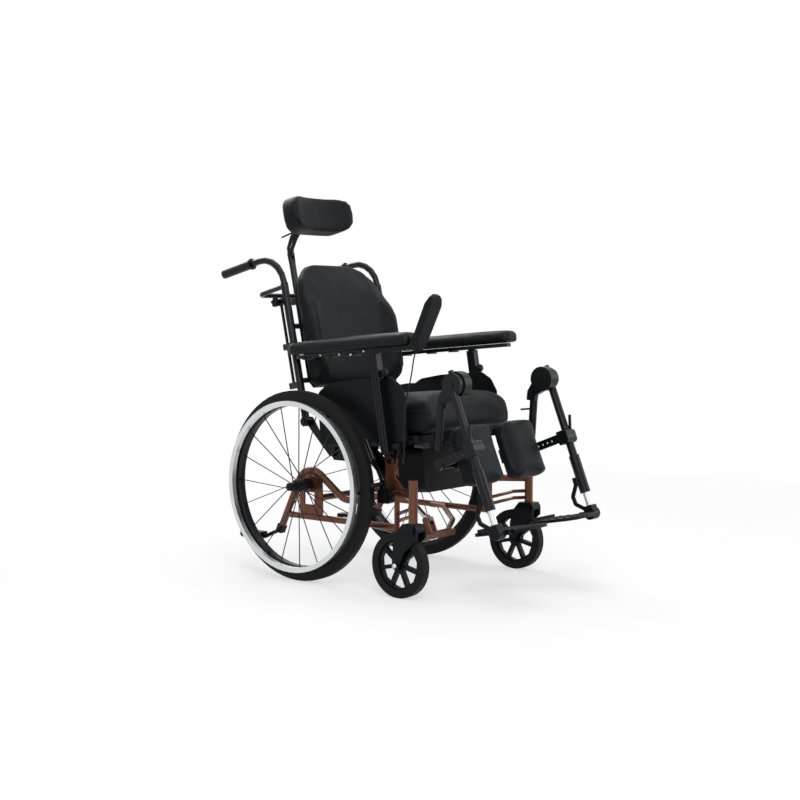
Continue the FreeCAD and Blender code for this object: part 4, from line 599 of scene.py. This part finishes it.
def remeshed(piece, voxel, shrink):
    """Even cells over the piece, smoothed and drawn in by shrink."""
    cells = piece.modifiers.new("cells", "REMESH")
    cells.mode = "VOXEL"
    cells.voxel_size = voxel
    smoothed(applied(piece), SOFTEN_STEPS)
    for vert in piece.data.vertices:
        vert.co -= vert.normal * shrink
    return piece


def blown(piece, held, cap):
    """The piece after some frames as a blown-up cloth, no point moved by more than cap."""
    start = np.array([v.co for v in piece.data.vertices])
    pinned = piece.vertex_groups.new(name="held")
    pinned.add([v.index for v in piece.data.vertices if held(v)], 1.0, "REPLACE")
    cloth = piece.modifiers.new("cloth", "CLOTH")
    cloth.settings.use_pressure = True
    cloth.settings.uniform_pressure_force = PRESSURE
    cloth.settings.effector_weights.gravity = 0
    cloth.settings.vertex_group_mass = "held"
    cloth.settings.quality = CLOTH_QUALITY
    cloth.collision_settings.use_collision = False
    for number in range(1, CLOTH_FRAMES + 1):
        bpy.context.scene.frame_set(number)
    graph = bpy.context.evaluated_depsgraph_get()
    end = np.array([v.co for v in piece.evaluated_get(graph).data.vertices])
    bpy.context.scene.frame_set(1)
    piece.modifiers.remove(cloth)
    moved = end - start
    far = np.linalg.norm(moved, axis=1, keepdims=True)
    moved *= np.minimum(1.0, cap / np.maximum(far, 1e-9))
    piece.data.vertices.foreach_set("co", (start + moved).ravel())
    piece.vertex_groups.clear()
    print(piece.name, "swelled by up to", round(float(far.max()) * 1000, 1), "mm before the cap")
    return smoothed(piece, SETTLE_STEPS)


def stuffed(node, name, material, held, cap=0.006, shrink=0.003, voxel=VOXEL):
    """A stuffed piece in the place of a frame piece's largest solid."""
    piece = remeshed(piece_from(name, solid_parts(node)[0], material), voxel, shrink)
    blown(piece, held, cap)
    piece.data.polygons.foreach_set("use_smooth", [True] * len(piece.data.polygons))
    finer = piece.modifiers.new("finer", "SUBSURF")
    finer.levels = finer.render_levels = 1
    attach(piece, body_of[node])
    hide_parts(node)
    return piece


print("the stuffing helper is ready")

# %% [markdown]
# The seat cushion lies on its pan, so its underside is held while the top swells.

# %% Seat cushion
seat_low, seat_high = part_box("seat_cushion")
seat_cushion = stuffed("seat_cushion", "seat_cushion_cover", knit, lambda v: v.normal.z < -0.6)
print("seat cushion is", [round(b - a, 3) for a, b in zip(seat_low, seat_high)], "m")

# %% [markdown]
# The back cushion hugs the user with side wings. Its rear lies on the back plate and is held.

# %% Back cushion
back_cushion = stuffed("back_cushion", "back_cushion_cover", knit, lambda v: v.normal.y > 0.6, cap=0.005)
print("back cushion points:", len(back_cushion.data.vertices))

# %% [markdown]
# The headrest pad is small and firm. It is held behind, where its plate carries it.

# %% Headrest pad
headrest = stuffed("headrest_pad", "headrest_cover", knit, lambda v: v.normal.y > 0.5, cap=0.004,
                   voxel=FINE_VOXEL)
print("headrest points:", len(headrest.data.vertices))

# %% [markdown]
# Armrest pads are foam with a tough skin, and sit on a flat rail.

# %% Armrest pads
for side in ("left", "right"):
    pad = stuffed(f"arm_pad_{side}", f"armrest_{side}", skin, lambda v: v.normal.z < -0.5, cap=0.003,
                  shrink=0.0015, voxel=FINE_VOXEL)
print("armrest pads made")

# %% [markdown]
# Each calf pad is a hollowed cushion on a carrier arm. The frame's piece holds both, so the arm is
# copied from the frame as a piece of its own and only the pad is stuffed.

# %% Calf pads
def own_part(node, name, part, finish):
    """One solid of a frame piece as a piece of its own, with its own finish."""
    piece = rounded(piece_from(name, part, finish))
    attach(piece, body_of[node])
    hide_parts(node)
    return piece


for side in ("left", "right"):
    node = f"calf_pad_{side}"
    pad = stuffed(node, f"calf_cover_{side}", knit, lambda v: v.normal.y > 0.5, cap=0.004, voxel=FINE_VOXEL)
    carriers = solid_parts(node)[1:]
    for index, part in enumerate(carriers):
        own_part(node, f"calf_carrier_{side}_{index}", part, black_coat)
    print("calf pad", side, "has", len(carriers), "carrier parts")

# %% [markdown]
# The foot support is black, but its inner tube, which slides in the leg, is bright anodised. The
# frame holds both in one piece, so each becomes a piece of its own with its own finish.

# %% Foot tubes
for side in ("left", "right"):
    node = f"foot_tube_{side}"
    block, tube = solid_parts(node)[:2]
    own_part(node, f"foot_support_{side}_0", block, case_plastic)
    own_part(node, f"foot_support_{side}_1", tube, bright)
    print("foot support", side, "has", len(block.verts), "and", len(tube.verts), "points")

# %% [markdown]
# Sewn covers show their seams. A seam here is a thin piping that lies on the stuffed cover: a few
# points near it are moved to the nearest place on the cover, and one smooth spline runs over them.

# %% Piping helper
PIPING = 0.0022
PIPING_LIFT = 0.0002
PIPING_SMOOTHNESS = 4


def laid_on(piece, points, lift):
    """Points moved to the nearest place on a piece's finished surface, lifted off it a little."""
    graph = bpy.context.evaluated_depsgraph_get()
    tree = BVHTree.FromObject(piece, graph)
    places = []
    for point in points:
        near, facing, _, _ = tree.find_nearest(Vector(point))
        places.append(near + facing * lift)
    return places


def piping(name, piece, points, body):
    """A sewn seam along points on a cover."""
    seam = spline_piece(name, laid_on(piece, points, PIPING_LIFT), PIPING, PIPING_SMOOTHNESS)
    seam.data.materials.append(seam_thread)
    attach(seam, body)
    return seam


def between(first, last, steps):
    """Points spaced evenly from first to last."""
    return [Vector(first).lerp(Vector(last), i / steps) for i in range(steps + 1)]


print("piping is", PIPING * 1000, "mm thick")

# %% [markdown]
# The back cover has a seam down each wing's edge, where the front panel meets the side, and the seat
# cover has one along each side and across the front roll.

# %% Cover seams
WING_SEAM_X = 0.219
SEAT_SEAM_X = 0.235
FRONT_SEAM_X = 0.19

for side, sign in (("left", 1), ("right", -1)):
    edge = between((sign * WING_SEAM_X, 0.166, 0.70), (sign * WING_SEAM_X, 0.205, 0.90), 8)
    piping(f"back_wing_seam_{side}", back_cushion, edge, "back")
    run = between((sign * SEAT_SEAM_X, seat_low.y + 0.03, seat_high.z - 0.045),
                  (sign * SEAT_SEAM_X, seat_high.y - 0.03, seat_high.z - 0.05), 8)
    piping(f"seat_side_seam_{side}", seat_cushion, run, "seat")
front = between((-FRONT_SEAM_X, seat_low.y - 0.02, seat_low.z + 0.03),
                (FRONT_SEAM_X, seat_low.y - 0.02, seat_low.z + 0.03), 10)
piping("seat_front_seam", seat_cushion, front, "seat")
print("seams laid on the back and seat covers")

# %% [markdown]
# Small fixings tell the eye how big a thing is. A domed screw head with a socket is turned from a
# profile, and its socket is a round pit in the middle.

# %% Screws and caps
TURNED_STEPS = 24
HUB_CAP = [(0.013, -0.002), (0.013, 0.003), (0.010, 0.006), (0.005, 0.0065), (0.004, 0.005), (0, 0.005)]
GUARD_SCREWS = [(0.10, 0.49), (0.02, 0.485), (-0.09, 0.475)]


def turned_piece(name, profile, place, axis, material, body, steps=TURNED_STEPS):
    """A round piece turned from (radius, height) pairs, standing on place along axis."""
    shape = bmesh.new()
    rings = []
    for radius, height in profile:
        angles = [2 * math.pi * i / steps for i in range(steps if radius else 1)]
        rings.append([shape.verts.new((radius * math.cos(a), radius * math.sin(a), height)) for a in angles])
    for low, high in zip(rings, rings[1:]):
        for i in range(steps):
            j = (i + 1) % steps
            corners = [low[i % len(low)], low[j % len(low)], high[j % len(high)], high[i % len(high)]]
            unique = list(dict.fromkeys(corners))
            if len(unique) > 2:
                shape.faces.new(unique)
    stand = Vector(axis).to_track_quat("Z", "Y").to_matrix().to_4x4()
    shape.transform(Matrix.Translation(Vector(place)) @ stand)
    bmesh.ops.recalc_face_normals(shape, faces=shape.faces)
    piece = rounded(piece_from(name, shape, material))
    shape.free()
    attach(piece, body)
    return piece


def screw(name, place, axis, radius, body, material):
    """A domed head with a socket, its foot sunk a little into what it holds."""
    profile = [(radius, -0.001), (radius, radius * 0.35), (radius * 0.8, radius * 0.65),
               (radius * 0.5, radius * 0.75), (radius * 0.45, radius * 0.3), (0, radius * 0.3)]
    return turned_piece(name, profile, place, axis, material, body)


def met_from(node, start, along):
    """Where a line from start first meets a frame piece, or None."""
    tree = BVHTree.FromObject(nodes[node], bpy.context.evaluated_depsgraph_get())
    return tree.ray_cast(Vector(start), Vector(along))[0]


def outer_face(node, y, z, sign):
    """Where a line along x from outside the chair meets a frame piece at this y and z."""
    return met_from(node, (sign * 0.6, y, z), (-sign, 0, 0))


count = 0
for side, sign in (("left", 1), ("right", -1)):
    outward = (sign, 0, 0)
    for y, z in GUARD_SCREWS:
        hit = outer_face("side_panels", y, z, sign)
        if hit:
            screw(f"guard_screw_{side}_{count}", hit, outward, 0.006, "seat", case_plastic)
            count += 1
    hub = outer_face(f"rear_wheel_{side}", *REAR_AXLE, sign)
    if hub:
        turned_piece(f"hub_cap_{side}", HUB_CAP, hub, outward, case_plastic, f"wheel_{side}")
    caster = outer_face(f"caster_fork_{side}", *CASTER_AXLE, sign)
    if caster:
        screw(f"caster_bolt_{side}", caster, outward, 0.008, f"caster_{side}", bright)
print("guard screws placed:", count)

# %% [markdown]
# Each armrest post is clamped by a round knob that faces forward. Steel screws hold the pad's rail
# from outside; a row of them glints under the right pad.

# %% Armrest knobs and rail screws
KNOB_PROFILE = [(0.004, -0.002), (0.004, 0.008), (0.011, 0.010), (0.013, 0.014),
                (0.013, 0.021), (0.009, 0.0245), (0, 0.0245)]
KNOB_HEIGHT = 0.672
KNOB_TRIES_X = (0.24, 0.25, 0.26, 0.27)
RAIL_SCREWS_Y = (0.13, 0.05, 0.0, -0.05)
RAIL_SCAN = 0.004

for side, sign in (("left", 1), ("right", -1)):
    node = f"arm_frame_{side}"
    body = f"arm_{side}"
    for x in KNOB_TRIES_X:
        hit = met_from(node, (sign * x, -0.6, KNOB_HEIGHT), (0, 1, 0))
        if hit and hit.y < 0:
            turned_piece(f"arm_knob_{side}", KNOB_PROFILE, hit, (0, -1, 0), case_plastic, body)
            print("knob on the", side, "post at", [round(v, 3) for v in hit])
            break
    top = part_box(node)[1].z
    for index, y in enumerate(RAIL_SCREWS_Y):
        hits = [outer_face(node, y, top - RAIL_SCAN * step, sign) for step in range(20)]
        found = [hit for hit in hits if hit]
        if found:
            middle = found[len(found) // 2]
            screw(f"rail_screw_{side}_{index}", middle, (sign, 0, 0), 0.0042, body, bright)

# %% [markdown]
# The chair stands on a plain pale floor. To the camera and in reflections the floor is nearly white,
# and it still takes the chair's soft shadow. It fades to the white of the world well behind the chair.

# %% Floor
FLOOR_HALF = 12.0
FLOOR_FADE = (("From Min", 0.9), ("From Max", 3.5), ("To Min", 0.55), ("To Max", 1.0))


def seen_directly(tree):
    """1 for rays from the camera, in a reflection or through glass, else 0."""
    rays = tree.nodes.new("ShaderNodeLightPath")
    first = math_node(tree, "MAXIMUM", rays.outputs["Is Camera Ray"], rays.outputs["Is Glossy Ray"])
    return math_node(tree, "MAXIMUM", first, rays.outputs["Is Transmission Ray"])


def blended(tree, factor, first, second, output):
    """A mix of two shaders that goes to the tree's output."""
    blend = tree.nodes.new("ShaderNodeMixShader")
    tree.links.new(factor, blend.inputs[0])
    tree.links.new(first.outputs[0], blend.inputs[1])
    tree.links.new(second.outputs[0], blend.inputs[2])
    tree.links.new(blend.outputs[0], output.inputs["Surface"])


ground = bpy.data.meshes.new("floor")
ground.from_pydata([(-FLOOR_HALF, -FLOOR_HALF, 0), (FLOOR_HALF, -FLOOR_HALF, 0), (FLOOR_HALF, FLOOR_HALF, 0),
                    (-FLOOR_HALF, FLOOR_HALF, 0)], [], [(0, 1, 2, 3)])
floor = bpy.data.objects.new("floor", ground)
bpy.context.scene.collection.objects.link(floor)
floor_paint = bpy.data.materials.new("pale_floor")
floor_paint.use_nodes = True
tree = floor_paint.node_tree
matt = tree.nodes["Principled BSDF"]
matt.inputs["Base Color"].default_value = (0.86, 0.86, 0.86, 1)
matt.inputs["Roughness"].default_value = 0.8
length = tree.nodes.new("ShaderNodeVectorMath")
length.operation = "LENGTH"
tree.links.new(object_place(tree), length.inputs[0])
fade = tree.nodes.new("ShaderNodeMapRange")
tree.links.new(length.outputs["Value"], fade.inputs["Value"])
for label, value in FLOOR_FADE:
    fade.inputs[label].default_value = value
whiteness = math_node(tree, "MULTIPLY", seen_directly(tree), fade.outputs["Result"])
blended(tree, whiteness, matt, tree.nodes.new("ShaderNodeEmission"), tree.nodes["Material Output"])
ground.materials.append(floor_paint)
print("floor is", 2 * FLOOR_HALF, "m across")

# %% [markdown]
# Soft studio light: a big soft box beside the camera, a wider one on the far side, one behind for the
# edges, one overhead, and an even world that is full white only to the camera and in reflections.

# %% Light
WORLD_LIGHT = 0.42
WHITE = (1, 1, 1, 1)

world = bpy.data.worlds.new("white_room")
bpy.context.scene.world = world
world.use_nodes = True
tree = world.node_tree
even = tree.nodes["Background"]
even.inputs["Color"].default_value = WHITE
even.inputs["Strength"].default_value = WORLD_LIGHT
shown = tree.nodes.new("ShaderNodeBackground")
shown.inputs["Color"].default_value = WHITE
shown.inputs["Strength"].default_value = 1.0
blended(tree, seen_directly(tree), even, shown, tree.nodes["World Output"])


def soft_box(name, place, aim, size, watts):
    """A square area lamp that faces a point."""
    lamp = bpy.data.lights.new(name, "AREA")
    lamp.shape = "SQUARE"
    lamp.size = size
    lamp.energy = watts
    held = bpy.data.objects.new(name, lamp)
    bpy.context.scene.collection.objects.link(held)
    held.location = place
    held.rotation_euler = (Vector(aim) - Vector(place)).to_track_quat("-Z", "Y").to_euler()
    return held


soft_box("key", (-2.6, -2.4, 2.9), (0, 0, 0.6), 2.0, 88)
soft_box("fill", (2.6, -2.8, 1.8), (0, 0, 0.6), 2.4, 32)
soft_box("rim", (1.2, 3.0, 2.8), (0, 0, 0.7), 2.0, 58)
soft_box("top", (0, 0, 3.6), (0, 0, 0), 2.6, 42)
bpy.context.scene.view_settings.view_transform = "Standard"

# %% Finish
bpy.context.view_layer.update()
